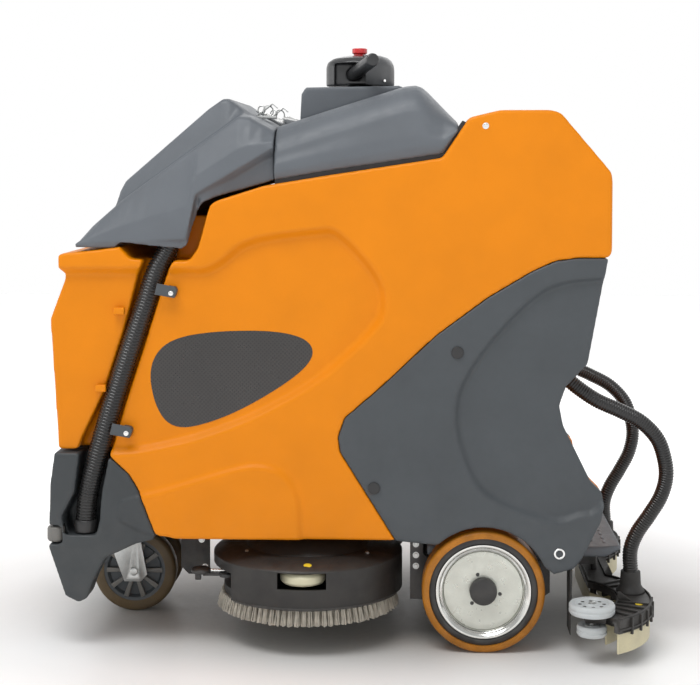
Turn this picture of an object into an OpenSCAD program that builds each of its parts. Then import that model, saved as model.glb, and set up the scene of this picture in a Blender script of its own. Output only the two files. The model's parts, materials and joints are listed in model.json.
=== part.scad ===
// Stand-on floor scrubber: two disc brushes in front of the driven wheels, a double-curved squeegee behind.
// +X points to the rear, +Y to the right-hand side of the machine, +Z up. Millimetres.
// The origin is on the floor under the middle of the machine.

/* [Body] */
// Width over the two flanks
body_w = 760; // [740:10:780]
// Width of the standing space between the flanks
cockpit_w = 580; // [560:10:600]
// Wall of the moulded tank
tank_wall = 8; // [6:1:10]
// Height of the standing platform
platform_z = 230; // [226:1:234]
// Thickness of the decals on the flanks
decal_t = 1; // [0.8:0.1:1.5]

/* [Driven wheels] */
// Outer diameter of a driven wheel
wheel_d = 285; // [275:1:288]
// Width of its tyre
wheel_w = 80; // [70:1:80]
// Place of the axle behind the origin
wheel_x = 280; // [278:1:284]

/* [Steered wheels] */
// Outer diameter of a steered wheel
front_d = 210; // [200:1:212]
// Width of one steered wheel
front_w = 45; // [40:1:45]

/* [Brush deck] */
// Diameter over the bristle tips
brush_d = 430; // [400:5:435]
// Half the distance between the two brushes
brush_y = 220; // [220:1:222]
// Height of the bristle tips when the deck is lifted
deck_raise = 75; // [70:1:80]

/* [Squeegee] */
// Radius of each of the squeegee's two curves
squeegee_r = 232; // [230:1:234]
// Angle that each curve covers towards its outer end
squeegee_out = 55; // [54:0.5:56]
// Height of the blades when the squeegee is lifted
squeegee_raise = 35; // [30:1:40]
// Outer diameter of the suction hoses
hose_d = 36; // [34:1:38]

/* [Hidden] */
half_w = body_w / 2;
cockpit_y = cockpit_w / 2;
cover_in = half_w - 46;
wheel_r = wheel_d / 2;
wheel_out = half_w - 5;
axle_out = wheel_out - 36;
arch_r = wheel_r + 10;
front_r = front_d / 2;
front_x = -586;
front_gap = 35;
fork_in = front_gap + front_w + 4;
brush_x = -136;
brush_r = brush_d / 2;
deck_top = deck_raise + 145;
motor_top = deck_top + 150;
rod_r = 12;
fit = 0.05;
squeegee_x = 444;
squeegee_y = 290;
squeegee_in = 50;
pin_x = 570;
// Distance from the datum that the shapes are drawn from to the middle of the machine
origin_x = 32;
blade_z = squeegee_raise;
cast_z = squeegee_raise + 65;
cast_top = cast_z + 14;
adapter_x = 634;
adapter_y = 250;
adapter_top = 165;
roller_x = 522;
roller_y = 434;
deck_roller_y = brush_y + 173;
corner_x = -718;
corner_y = 358;
hinge_x = -196;
hinge_z = 1240;
head_x = -20;
steer_z = 1325;
lever_x = head_x - 4;
lever_z = steer_z + 3;

// Outlines in the side view, as [x, z].
bumper_seam = [[-600, 461], [-577, 442], [-543, 413], [-517, 368], [-500, 323], [-480, 271]];
tank_front = [[-710, 466], [-727, 771], [-690, 868], [-692, 923], [-560, 940], [-535, 912]];
tank_top = [[-400, 908], [-379, 937], [-352, 1034], [-338, 1046], [-227, 1081], [-86, 1104],
    [182, 1145], [243, 1237], [314, 1254], [428, 1254], [451, 1247], [565, 1113], [569, 1094],
    [569, 930], [560, 917]];
rear_edge = [[516, 673], [467, 621], [452, 577], [461, 531], [525, 401], [551, 376], [555, 347],
    [548, 311], [503, 220]];
cover_top = [[-56, 502], [-40, 547], [40, 616], [169, 738], [286, 825], [389, 887], [441, 910],
    [493, 917], [560, 917]];
cover_low = [[486, 201], [441, 188], [389, 227], [350, 272], [169, 253], [77, 262], [-51, 467]];
bumper_front = [[-480, 271], [-486, 258], [-526, 249], [-599, 214], [-628, 158], [-642, 119],
    [-662, 109], [-693, 124], [-733, 244], [-740, 266], [-730, 292], [-727, 385], [-716, 461]];
hose_pocket = [[-656, 470], [-670, 368], [-700, 311], [-694, 268], [-620, 268], [-612, 300],
    [-606, 368], [-585, 470]];
lid_side = [[-664, 946], [-600, 1056], [-345, 1288], [-320, 1288], [-204, 1218], [-214, 1092],
    [-338, 1053], [-372, 1040], [-386, 1010], [-404, 946]];
lid_inside = [[-646, 900], [-592, 1046], [-342, 1278], [-322, 1278], [-212, 1211], [-221, 1060],
    [-338, 1040], [-380, 1000], [-396, 900]];
hood_side = [[-194, 1222], [96, 1313], [124, 1315], [143, 1305], [222, 1226], [185, 1152],
    [-84, 1112], [-204, 1091]];
decal_side = [[-493, 627], [-486, 680], [-462, 714], [-420, 730], [-302, 745], [-165, 741],
    [-126, 727], [-113, 697], [-142, 650], [-230, 592], [-336, 538], [-416, 516], [-463, 534],
    [-486, 575]];

// Routes, as points on the middle of each hose.
drain_route = [[-440, -341, 960], [-460, -342, 920], [-482, -348, 878], [-504, -354, 810],
    [-527, -360, 741], [-550, -362, 673], [-572, -362, 605], [-590, -362, 548], [-607, -360, 491],
    [-622, -358, 440], [-634, -356, 395], [-644, -352, 350], [-650, -348, 300]];
suction_route = [[448, -302, 656], [470, -302, 636], [500, -301, 610], [545, -300, 580],
    [600, -296, 555], [650, -291, 528], [688, -286, 488], [706, -281, 440], [711, -276, 395],
    [700, -270, 348], [675, -263, 302], [648, -256, 258], [633, -252, 215],
    [adapter_x, -adapter_y, adapter_top]];

function unit(v) = v / norm(v);
function tangent(p, i) = unit(p[min(i + 1, len(p) - 1)] - p[max(i - 1, 0)]);
function flip(p) = [for (q = p) [q[0], -q[1], q[2]]];
function ring(c, t, r, n) = let (u = unit(cross(t, [0.15, 1, 0.1])), v = cross(t, u))
    [for (k = [0:n - 1]) c + r * (cos(360 * k / n) * u + sin(360 * k / n) * v)];

// A solid tube along a route. The last ring lies flat when level_end is set.
module tube(p, d, n = 10, level_end = true) {
    m = len(p);
    points = [for (i = [0:m - 1]) each ring(p[i],
        level_end && i == m - 1 ? [0, 0, -1] : tangent(p, i), d / 2, n)];
    sides = [for (i = [0:m - 2], k = [0:n - 1])
        [i * n + k, (i + 1) * n + k, (i + 1) * n + (k + 1) % n, i * n + (k + 1) % n]];
    polyhedron(points, concat(sides, [[for (k = [0:n - 1]) k]],
        [[for (k = [n - 1:-1:0]) (m - 1) * n + k]]), convexity = 6);
}

// An outline in the side view, made solid from y0 to y1.
module side(outline, y0, y1) {
    translate([0, y1, 0]) rotate([90, 0, 0]) linear_extrude(y1 - y0) polygon(outline);
}

// The same outline on both flanks.
module both_sides(outline, y0, y1) {
    side(outline, -y1, -y0);
    side(outline, y0, y1);
}

module block(low, high) {
    translate(low) cube(high - low);
}

// A round bar along Y from y0 to y1.
module bar_y(x, z, y0, y1, r) {
    translate([x, y0, z]) rotate([-90, 0, 0]) cylinder(h = y1 - y0, r = r, $fn = 64);
}

module post(x, y, z0, z1, r) {
    translate([x, y, z0]) cylinder(h = z1 - z0, r = r, $fn = 64);
}

// A strip along the squeegee's two curves and the bridge between them, between two radii.
module squeegee_strip(r0, r1, z0, z1, out = squeegee_out) {
    steps = 24;
    function edge(r, s) = [for (k = [0:steps]) let (a = out - k * (out + squeegee_in) / steps)
        [squeegee_x + r * cos(a), s * (squeegee_y + r * sin(a))]];
    function back(line) = [for (k = [len(line) - 1:-1:0]) line[k]];
    translate([0, 0, z0]) linear_extrude(z1 - z0)
        polygon(concat(edge(r1, 1), back(edge(r1, -1)), edge(r0, -1), back(edge(r0, 1))));
}

// Puts a sub-part in the frame, whose origin is under the middle of the machine.
module placed() {
    translate([origin_x, 0, 0]) children();
}

module chassis_frame() placed() color("#26282a") {
    rail_in = 100;
    rail_out = 140;
    plate_in = cockpit_y - 14;
    difference() {
        union() {
            for (s = [-1, 1]) {
                front_rail = [min(s * rail_in, s * rail_out), max(s * rail_in, s * rail_out)];
                block([-520, front_rail[0], 250], [141, front_rail[1], 296]);
                block([110, front_rail[0], 150], [141, front_rail[1], 250]);
                block([110, front_rail[0], 150], [560, front_rail[1], 196]);
            }
            for (x = [-520, -290, -60]) block([x, -rail_in, 250], [x + 40, rail_in, 296]);
            block([-690, -170, 250], [-480, 170, 262]);
            block([110, -plate_in, 150], [118, plate_in, 296]);
            block([520, -rail_in, 150], [560, rail_in, 196]);
            both_sides([[110, 100], [170, 100], [200, 60], [360, 60], [440, 120], [440, 196],
                [150, 200], [141, 210], [141, 262], [110, 262]], plate_in, plate_in + 10);
            // Trays that carry the batteries
            for (x = [-457, -28]) {
                block([x, -270, 296], [x + 166, 270, 300]);
                both_sides([[x, 262], [x + 166, 262], [x + 166, 297], [x, 297]], 262, 270);
            }
        }
        post(front_x, 0, 240, 270, 25 + fit);
        bar_y(wheel_x, wheel_r, -half_w, half_w, 20 + fit);
    }
}

module main_tank() placed() color("#f0901c") {
    outline = concat(tank_front, tank_top, rear_edge, [[430, 262], [-427, 262]],
        [for (i = [5:-1:1]) bumper_seam[i]], [[-600, 466]]);
    groove = [[-400, 1000], [-410, 960], [-430, 920], [-453, 878], [-498, 741], [-543, 605],
        [-578, 491], [-592, 440], [-672, 440], [-656, 491], [-600, 605], [-555, 741], [-520, 878], [-498, 925],
        [-498, 1000]];
    cavity = [[-698, 476], [-716, 770], [-680, 866], [-680, 900], [-392, 898], [-367, 945],
        [-343, 1032], [-228, 1070], [-86, 1093], [-66, 1096], [-66, 200], [-440, 200], [-482, 330],
        [-590, 470]];
    difference() {
        side(outline, -half_w, half_w);
        both_sides(concat(cover_top, rear_edge, cover_low), cover_in, half_w + 1);
        block([150, -cockpit_y, 0], [700, cockpit_y, 1400]);
        side(cavity, -305, half_w - tank_wall);
        // Way for the rails of the chassis
        block([-600, -142, 200], [-440, 142, 298]);
        block([-70, -cover_in + tank_wall, 200], [150 - tank_wall, cover_in - tank_wall, 1090]);
        side(groove, -half_w - 1, -316);
        both_sides([[196, 1010], [204, 1134], [258, 1228], [316, 1244], [426, 1244], [446, 1238],
            [556, 1108], [560, 940]], cockpit_y + tank_wall, half_w - tank_wall);
        for (s = [-1, 1])
            bar_y(wheel_x, wheel_r, s > 0 ? cockpit_y : -half_w - 1, s > 0 ? half_w + 1 : -cockpit_y,
                arch_r + 4);
    }
}

module battery_pack() placed() color("#2b2d33") {
    for (x = [-453, -24], y = [-262, -128, 6, 140]) block([x, y, 300], [x + 160, y + 122, 560]);
}

module vacuum_motor() placed() color("#55585c") {
    post(50, 0, 960, 1060, 72);
    post(50, 0, 900, 960, 90);
    block([50, -80, 890], [142, 80, 900]);
}

module front_bumper() placed() color("#53575d") {
    notch_r = 26;
    difference() {
        side(concat(bumper_seam, [for (i = [1:12]) bumper_front[i]]), -half_w, half_w);
        block([-706, -300, 0], [-400, 300, 500]);
        block([-800, -300, 0], [-400, 300, 224]);
        both_sides(hose_pocket, 301, half_w + 1);
        for (s = [-1, 1]) post(corner_x, s * corner_y, 246, 290, notch_r);
    }
    for (s = [-1, 1]) {
        block([-706, s > 0 ? 292 : -300, 270], [-612, s > 0 ? 300 : -292, 450]);
        post(corner_x, s * corner_y, 246, 290, 5);
    }
}

module corner_roller(s) {
    difference() {
        translate([corner_x, s * corner_y, 250]) rotate_extrude($fn = 64)
            polygon([[0, 0], [16, 0], [20, 5], [20, 31], [16, 36], [0, 36]]);
        post(corner_x, s * corner_y, 240, 300, 5 + fit);
    }
}
module corner_roller_left() placed() color("#606366") corner_roller(-1);
module corner_roller_right() placed() color("#606366") corner_roller(1);

module side_cover(s) {
    difference() {
        side(concat(cover_top, rear_edge, cover_low), s > 0 ? cover_in : -half_w,
            s > 0 ? half_w : -cover_in);
        bar_y(wheel_x, wheel_r, s > 0 ? cover_in - 1 : -half_w - 1, s > 0 ? half_w + 1 : 1 - cover_in,
            arch_r);
        // The panel is a tray, open towards the tank
        side([[-20, 510], [50, 600], [180, 720], [300, 810], [440, 880], [540, 890], [500, 680],
            [445, 630], [430, 570], [440, 520], [505, 395], [525, 350], [470, 240], [400, 250],
            [330, 320], [230, 320], [150, 290], [90, 290], [-20, 460]],
            s > 0 ? cover_in - 1 : 12 - half_w, s > 0 ? half_w - 12 : 1 - cover_in);
    }
}
module side_cover_left() placed() color("#53575d") side_cover(-1);
module side_cover_right() placed() color("#53575d") side_cover(1);

module cover_caps() placed() color("#2b2d30") {
    for (p = [[218, 700], [27, 385]]) {
        bar_y(p[0], p[1], -half_w - 4, -half_w, 14);
        bar_y(p[0], p[1], half_w, half_w + 4, 14);
    }
}

module cover_eyelets() placed() color("#b9bcbf") {
    difference() {
        for (s = [0, 1]) bar_y(453, 237, s * half_w - (1 - s) * (half_w + 3), s * 3 + s * half_w
            - (1 - s) * half_w, 13);
        bar_y(453, 237, -half_w - 5, half_w + 5, 8);
    }
}

module decals() placed() color("#33312f") both_sides(decal_side, half_w, half_w + decal_t);

// Bounds the hoods to sides that lean inwards.
module hood_section(inset = 0) {
    side_y = half_w - 5 - inset;
    rotate([90, 0, 90]) translate([0, 0, -700]) linear_extrude(1000)
        polygon([[-side_y, 880], [-side_y, 1150], [inset - 250, 1330 - inset],
            [250 - inset, 1330 - inset], [side_y, 1150], [side_y, 880]]);
}

module lid_section(inset = 0) {
    side_y = half_w - 5 - inset;
    rotate([90, 0, 90]) translate([0, 0, -700]) linear_extrude(600)
        polygon([[-side_y, 880], [-side_y, 1090], [inset - 338, 1222 - inset],
            [inset - 250, 1300 - inset], [250 - inset, 1300 - inset],
            [338 - inset, 1222 - inset], [side_y, 1090], [side_y, 880]]);
}

module console_cover() placed() color("#5b5f66") difference() {
    intersection() {
        side(hood_side, -half_w, half_w);
        hood_section();
    }
    intersection() {
        side([[-186, 1000], [-186, 1216], [95, 1304], [121, 1306], [139, 1297], [211, 1226],
            [180, 1160], [170, 1000]], -half_w, half_w);
        hood_section(8);
    }
    post(head_x, 0, 1200, 1400, 60);
}

module console_box() placed() color("#555960") difference() {
    side([[-160, 1233], [-156, 1300], [-146, 1316], [80, 1320], [92, 1316], [94, 1313]], -150, 150);
    side([[-146, 1230], [-140, 1304], [60, 1304]], -140, 140);
    post(head_x, 0, 1180, 1400, 25 + fit);
}

module display_panel() placed() color("#202224") {
    side([[100, 1314], [120, 1316], [120, 1322], [100, 1320]], -90, 90);
}

module platform_plate() placed() color("#4a4e53") {
    difference() {
        side([[150, platform_z - 24], [150, platform_z], [560, platform_z], [606, platform_z + 4],
            [608, platform_z - 4], [572, platform_z - 24]], -cockpit_y + 3, cockpit_y - 3);
        block([300, -102, platform_z - 12], [422, 102, platform_z + 10]);
    }
}

module presence_pedal() placed() color("#1c1d1e") {
    block([301.5, -100, platform_z - 3], [420.5, 100, platform_z + 5]);
}

module mud_flaps() placed() color("#1c1d1f") {
    both_sides([[478, 198], [484, 199], [481, 45], [479, 45]], 300, 372);
    // Guard plates between the steered wheels and the brush deck
    both_sides([[-442, 262], [-442, 160], [-424, 142], [-372, 142], [-372, 262]], 236, 241);
}

module drain_hose() placed() color("#1f2022") tube(drain_route, 48, 12);

module drain_fittings() placed() color("#17181a") {
    post(-650, -348, 270, 300, 26);
}

module hose_clips() placed() color("#3e4146") {
    for (p = [[-466, 837], [-572, 512]])
        side([[p[0], p[1] - 12], [p[0] + 36, p[1] - 16], [p[0] + 40, p[1] + 4],
            [p[0] + 4, p[1] + 10]], -half_w - 6, -half_w);
}

module clip_screws() placed() color("#c8cacc") {
    for (p = [[-438, 832], [-544, 507]]) bar_y(p[0], p[1], -half_w - 9, -half_w - 6, 4);
}

module lift_actuator() placed() color("#6d7174") {
    difference() {
        union() {
            post(brush_x, 0, 330, 560, 30);
            block([-290, -22, 500], [-36, 22, 540]);
            for (x = [-290, -56]) block([x, -22, 296], [x + 20, 22, 500]);
        }
        post(brush_x, 0, 300, 545, rod_r + fit);
    }
}

module drive_motors() placed() color("#3a3c3f") {
    for (s = [0, 1]) {
        bar_y(wheel_x, wheel_r, s > 0 ? 145 : -276, s > 0 ? 276 : -145, 52);
        bar_y(wheel_x, wheel_r, s > 0 ? 276 : -axle_out, s > 0 ? axle_out : -276, 20);
    }
}

module squeegee_hitch() placed() color("#303236") {
    block([560, -80, 166], [604, 80, 190]);
    for (y = [-50, 50]) post(pin_x, y, 42, 166, 8);
}

module lid_hinges() placed() color("#c4c7ca") {
    cheek = [[-194, 1222.2], [-166, 1231], [-166, 1236], [-186, 1246], [-202, 1245], [-202, 1236]];
    for (y = [-110, 110]) {
        side(cheek, y - 20, y - 12);
        side(cheek, y + 12, y + 20);
        bar_y(hinge_x, hinge_z, y - 24, y + 24, 3);
    }
}

module suction_hose_left() placed() color("#202123") tube(suction_route, hose_d);
module suction_hose_right() placed() color("#202123") tube(flip(suction_route), hose_d);

module tank_lid() placed() color("#5b5f66") difference() {
    intersection() {
        side(lid_side, -half_w, half_w);
        lid_section();
    }
    intersection() {
        side(lid_inside, -half_w, half_w);
        lid_section(8);
    }
}

module lid_leaves() placed() color("#c4c7ca") {
    for (y = [-110, 110]) difference() {
        union() {
            side([[-270, 1258.2], [-208, 1221], [-200, 1234], [-268, 1264]], y - 10, y + 10);
            bar_y(hinge_x, hinge_z, y - 10, y + 10, 7);
        }
        bar_y(hinge_x, hinge_z, y - 11, y + 11, 3 + fit);
    }
}

module steering_head() placed() color("#3c3e41") {
    difference() {
        union() {
            post(head_x, 0, steer_z, 1372, 84);
            translate([head_x, 0, 1372]) rotate_extrude($fn = 96)
                polygon([[0, 0], [84, 0], [80, 12], [66, 22], [40, 28], [0, 29]]);
        }
        post(head_x, 0, 1380, 1410, 16);
        handle_bars(16 + fit);
        for (s = [-1, 1]) block([head_x - 60, s > 0 ? 44 : -90, 1324],
            [head_x + 34, s > 0 ? 90 : -44, 1380]);
    }
    post(head_x, 0, 1240, steer_z, 25);
    for (s = [0, 1]) bar_y(lever_x, lever_z, s > 0 ? 40 : -58, s > 0 ? 58 : -40, 2.5);
}

module handle_bars(r) {
    for (s = [-1, 1]) {
        a = [head_x - 16, s * 34, 1352];
        b = [20, s * 226, 1378];
        v = b - a;
        translate(a) rotate([0, acos(v[2] / norm(v)), atan2(v[1], v[0])])
            cylinder(h = norm(v), r = r, $fn = 48);
    }
}
module handlebar() placed() color("#1b1c1d") handle_bars(16);

module head_screws() placed() color("#c8cacc") {
    for (s = [-1, 1], x = [head_x + 62]) translate([x, s * 62, 1336])
        rotate([0, 90, s * 45]) cylinder(h = 4, r = 4, $fn = 32);
}

module throttle_lever() placed() color("#141516") {
    for (s = [0, 1]) difference() {
        union() {
            block([lever_x - 24, s > 0 ? 46 : -140, lever_z - 2], [lever_x + 24,
                s > 0 ? 140 : -46, lever_z + 2]);
            bar_y(lever_x, lever_z, s > 0 ? 46 : -62, s > 0 ? 62 : -46, 4.5);
        }
        bar_y(lever_x, lever_z, s > 0 ? 45 : -60, s > 0 ? 60 : -45, 2.5 + fit);
    }
}

module stop_button() placed() color("#d0252a") {
    post(head_x, 0, 1386, 1407, 15);
    post(head_x, 0, 1407, 1420, 19);
}

module front_fork() placed() color("#b4b8ba") {
    difference() {
        union() {
            both_sides([[front_x - 50, 150], [front_x - 24, front_r - 26], [front_x + 18, front_r - 26],
                [front_x + 34, front_r - 8], [front_x + 10, 226], [front_x - 50, 226]],
                fork_in, fork_in + 6);
            block([front_x - 50, -fork_in - 6, 226], [front_x + 40, fork_in + 6, 236]);
            post(front_x, 0, 236, 300, 25);
        }
        bar_y(front_x, front_r, -120, 120, 10 + fit);
    }
}

module fork_axle() placed() color("#d5d8da") {
    bar_y(front_x, front_r, -fork_in - 12, fork_in + 12, 10);
}

module front_wheel(y0) {
    difference() {
        bar_y(front_x, front_r, y0, y0 + front_w, front_r);
        bar_y(front_x, front_r, y0 - 1, y0 + front_w + 1, 10 + fit);
        for (s = [0, 1]) bar_y(front_x, front_r, s > 0 ? y0 + front_w - 8 : y0 - 1,
            s > 0 ? y0 + front_w + 1 : y0 + 8, front_r - 27);
    }
    difference() {
        bar_y(front_x, front_r, y0 + 2, y0 + front_w - 2, 24);
        bar_y(front_x, front_r, y0 - 1, y0 + front_w + 1, 10 + fit);
    }
}
module front_wheel_left() placed() color("#6b5a3e") front_wheel(-front_gap - front_w);
module front_wheel_right() placed() color("#6b5a3e") front_wheel(front_gap);

// Parts of a driven wheel, on the side s. Depths are counted inwards from its outer face.
module wheel_ring(s, depth0, depth1, r0, r1) {
    y0 = s > 0 ? wheel_out - depth1 : -wheel_out + depth0;
    difference() {
        bar_y(wheel_x, wheel_r, y0, y0 + depth1 - depth0, r1);
        bar_y(wheel_x, wheel_r, y0 - 1, y0 + depth1 - depth0 + 1, r0);
    }
}
module drive_tyre_left() placed() color("#b8782a") wheel_ring(-1, 0, wheel_w, wheel_r - 17, wheel_r);
module drive_tyre_right() placed() color("#b8782a") wheel_ring(1, 0, wheel_w, wheel_r - 17, wheel_r);
module drive_rim(s) {
    wheel_ring(s, 6, wheel_w - 6, wheel_r - 31, wheel_r - 17);
    wheel_ring(s, 34, wheel_w - 6, 20 + fit, wheel_r - 31);
    // Hub cap
    bar_y(wheel_x, wheel_r, s > 0 ? wheel_out - 34 : 1 - wheel_out,
        s > 0 ? wheel_out - 1 : 34 - wheel_out, 28);
}
module drive_rim_left() placed() color("#3a3836") drive_rim(-1);
module drive_rim_right() placed() color("#3a3836") drive_rim(1);
module wheel_disc(s) {
    wheel_ring(s, 2, 34, wheel_r - 38, wheel_r - 31);
    difference() {
        wheel_ring(s, 14, 20, 28, wheel_r - 38);
        for (a = [20:72:340]) bar_y(wheel_x + 38 * cos(a), wheel_r + 38 * sin(a), -half_w, half_w, 4);
    }
}
module wheel_disc_left() placed() color("#d8d8d0") wheel_disc(-1);
module wheel_disc_right() placed() color("#d8d8d0") wheel_disc(1);

// One round hood of the deck, its top sloping down to the skirt
module deck_dome(low, high, r) {
    for (y = [-brush_y, brush_y]) translate([brush_x, y, 0]) rotate_extrude($fn = 128)
        polygon([[0, low], [r, low], [r, high - 17], [r - 4, high - 13], [r - 52, high], [0, high]]);
}

module brush_deck() placed() color("#3b3a3c") {
    skirt_low = deck_raise + 42;
    top_t = 12;
    difference() {
        union() {
            deck_dome(skirt_low, deck_top, brush_r + 12);
            block([brush_x - 120, -brush_y, skirt_low], [brush_x + 120, brush_y, deck_top]);
        }
        deck_dome(0, deck_top - top_t, brush_r + 4);
        block([brush_x - 100, -brush_y, 0], [brush_x + 100, brush_y, deck_top - top_t]);
        for (y = [-brush_y, brush_y]) post(brush_x, y, 0, deck_top + 1, 40);
        // Windows for the side rollers
        for (s = [-1, 1]) block([brush_x - 56, s > 0 ? 400 : -460, deck_raise + 88],
            [brush_x + 56, s > 0 ? 460 : -400, deck_raise + 126]);
        // The front of each skirt is cut back, where the latch sits
        for (s = [-1, 1]) block([brush_x - 240, s > 0 ? 150 : -460, 0],
            [brush_x - 170, s > 0 ? 460 : -150, deck_top - 40]);
    }
    post(brush_x, 0, deck_top, 500, rod_r);
    for (s = [-1, 1]) {
        post(brush_x, s * deck_roller_y, deck_raise + 96, deck_top - top_t, 8);
        post(brush_x - 182, s * 330, deck_top - 30, deck_top - 16, 12);
    }
}

module brush_motors() placed() color("#2f3033") {
    for (y = [-brush_y, brush_y]) {
        post(brush_x, y, deck_top, motor_top, 58);
        post(brush_x, y, deck_top, deck_top + 18, 90);
        post(brush_x, y, deck_raise + 38, deck_top, 12);
    }
}

module deck_roller(s) {
    difference() {
        translate([brush_x, s * deck_roller_y, deck_raise + 94]) rotate_extrude($fn = 96)
            polygon([[0, 0], [46, 0], [53, 7], [53, 21], [46, 28], [0, 28]]);
        post(brush_x, s * deck_roller_y, 0, 400, 8 + fit);
    }
}
module deck_roller_left() placed() color("#dcd9c4") deck_roller(-1);
module deck_roller_right() placed() color("#dcd9c4") deck_roller(1);

module deck_latches() placed() color("#55575a") {
    for (s = [-1, 1]) {
        post(brush_x - 182, s * 330, deck_raise + 88, deck_raise + 96, 20);
        post(brush_x - 182, s * 330, deck_raise + 96, deck_top - 30, 5);
        block([brush_x - 240, s > 0 ? 324 : -336, deck_raise + 89],
            [brush_x - 195, s > 0 ? 336 : -324, deck_raise + 95]);
    }
}

module brush_plate(y) {
    difference() {
        post(brush_x, y, deck_raise + 34, deck_raise + 56, brush_r - 12);
        post(brush_x, y, 0, 400, 12 + fit);
    }
    difference() {
        post(brush_x, y, deck_raise + 56, deck_top - 2, 34);
        post(brush_x, y, 0, 400, 12 + fit);
    }
}
module brush_left() placed() color("#3a3b3d") brush_plate(-brush_y);
module brush_right() placed() color("#3a3b3d") brush_plate(brush_y);

module bristle_ring(y) {
    translate([brush_x, y, deck_raise]) rotate_extrude($fn = 96)
        polygon([[90, 0], [brush_r, 0], [brush_r - 14, 34], [100, 34]]);
}
module bristles_left() placed() color("#cfc6b4") bristle_ring(-brush_y);
module bristles_right() placed() color("#cfc6b4") bristle_ring(brush_y);

module squeegee_body() placed() color("#343333") {
    inner = squeegee_r - 80;
    difference() {
        union() {
            squeegee_strip(inner, squeegee_r, cast_z, cast_top);
            squeegee_strip(squeegee_r - 16, squeegee_r, cast_z - 18, cast_z + 2);
            block([546, -75, cast_z - 14], [614, 75, cast_z + 10]);
            for (a = [-36:12:48]) squeegee_ribs(a, inner + 10, squeegee_r - 14);
            for (s = [-1, 1]) block([roller_x - 16, s > 0 ? roller_y - 26 : -roller_y - 16,
                cast_z - 3], [roller_x + 30, s > 0 ? roller_y + 16 : 26 - roller_y, cast_top + 1]);
        }
        for (y = [-50, 50]) post(pin_x, y, 0, 200, 8 + fit);
        for (s = [-1, 1]) post(roller_x, s * roller_y, 0, 200, 6);
    }
}

// One stiffening rib under each curve
module squeegee_ribs(a, r0, r1) {
    for (s = [-1, 1]) translate([squeegee_x, s * squeegee_y, 0]) rotate([0, 0, s * a])
        block([r0, -3, cast_z - 14], [r1, 3, cast_z + 3]);
}

module front_blade() placed() color("#d9d3b0") {
    squeegee_strip(squeegee_r - 72, squeegee_r - 68, blade_z, cast_z - 14, squeegee_out - 9);
}

module rear_blade() placed() color("#d9d3b0") {
    squeegee_strip(squeegee_r - 9, squeegee_r - 4, blade_z, cast_z - 18, squeegee_out - 0.5);
}

module hose_adapters() placed() color("#252527") {
    for (s = [-1, 1]) translate([adapter_x, s * adapter_y, cast_top]) rotate_extrude($fn = 64)
        polygon([[0, 0], [34, 0], [34, 4], [25, 18], [23, adapter_top - cast_top],
            [0, adapter_top - cast_top]]);
}

module roller_pair(s) {
    post(roller_x, s * roller_y, cast_top + 2, cast_top + 26, 52);
    post(roller_x, s * roller_y, cast_z - 34, cast_z - 10, 34);
    post(roller_x, s * roller_y, cast_z - 10, cast_top + 2, 6 - fit);
}
module bumper_rollers_left() placed() color("#cfd4d4") roller_pair(-1);
module bumper_rollers_right() placed() color("#cfd4d4") roller_pair(1);

chassis_frame();
main_tank();
battery_pack();
vacuum_motor();
front_bumper();
side_cover_left();
side_cover_right();
cover_caps();
cover_eyelets();
decals();
console_cover();
console_box();
display_panel();
platform_plate();
mud_flaps();
drain_hose();
drain_fittings();
hose_clips();
clip_screws();
lift_actuator();
drive_motors();
squeegee_hitch();
lid_hinges();
suction_hose_left();
suction_hose_right();
tank_lid();
lid_leaves();
steering_head();
handlebar();
head_screws();
throttle_lever();
stop_button();
presence_pedal();
front_fork();
fork_axle();
front_wheel_left();
front_wheel_right();
drive_tyre_left();
drive_rim_left();
wheel_disc_left();
drive_tyre_right();
drive_rim_right();
wheel_disc_right();
corner_roller_left();
corner_roller_right();
brush_deck();
brush_motors();
deck_roller_left();
deck_roller_right();
deck_latches();
brush_left();
brush_right();
bristles_left();
bristles_right();
squeegee_body();
front_blade();
rear_blade();
hose_adapters();
bumper_rollers_left();
bumper_rollers_right();
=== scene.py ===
import json
import math
import random
from contextlib import contextmanager

import bmesh
import bpy
import numpy as np
from mathutils import Matrix, Vector

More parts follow.
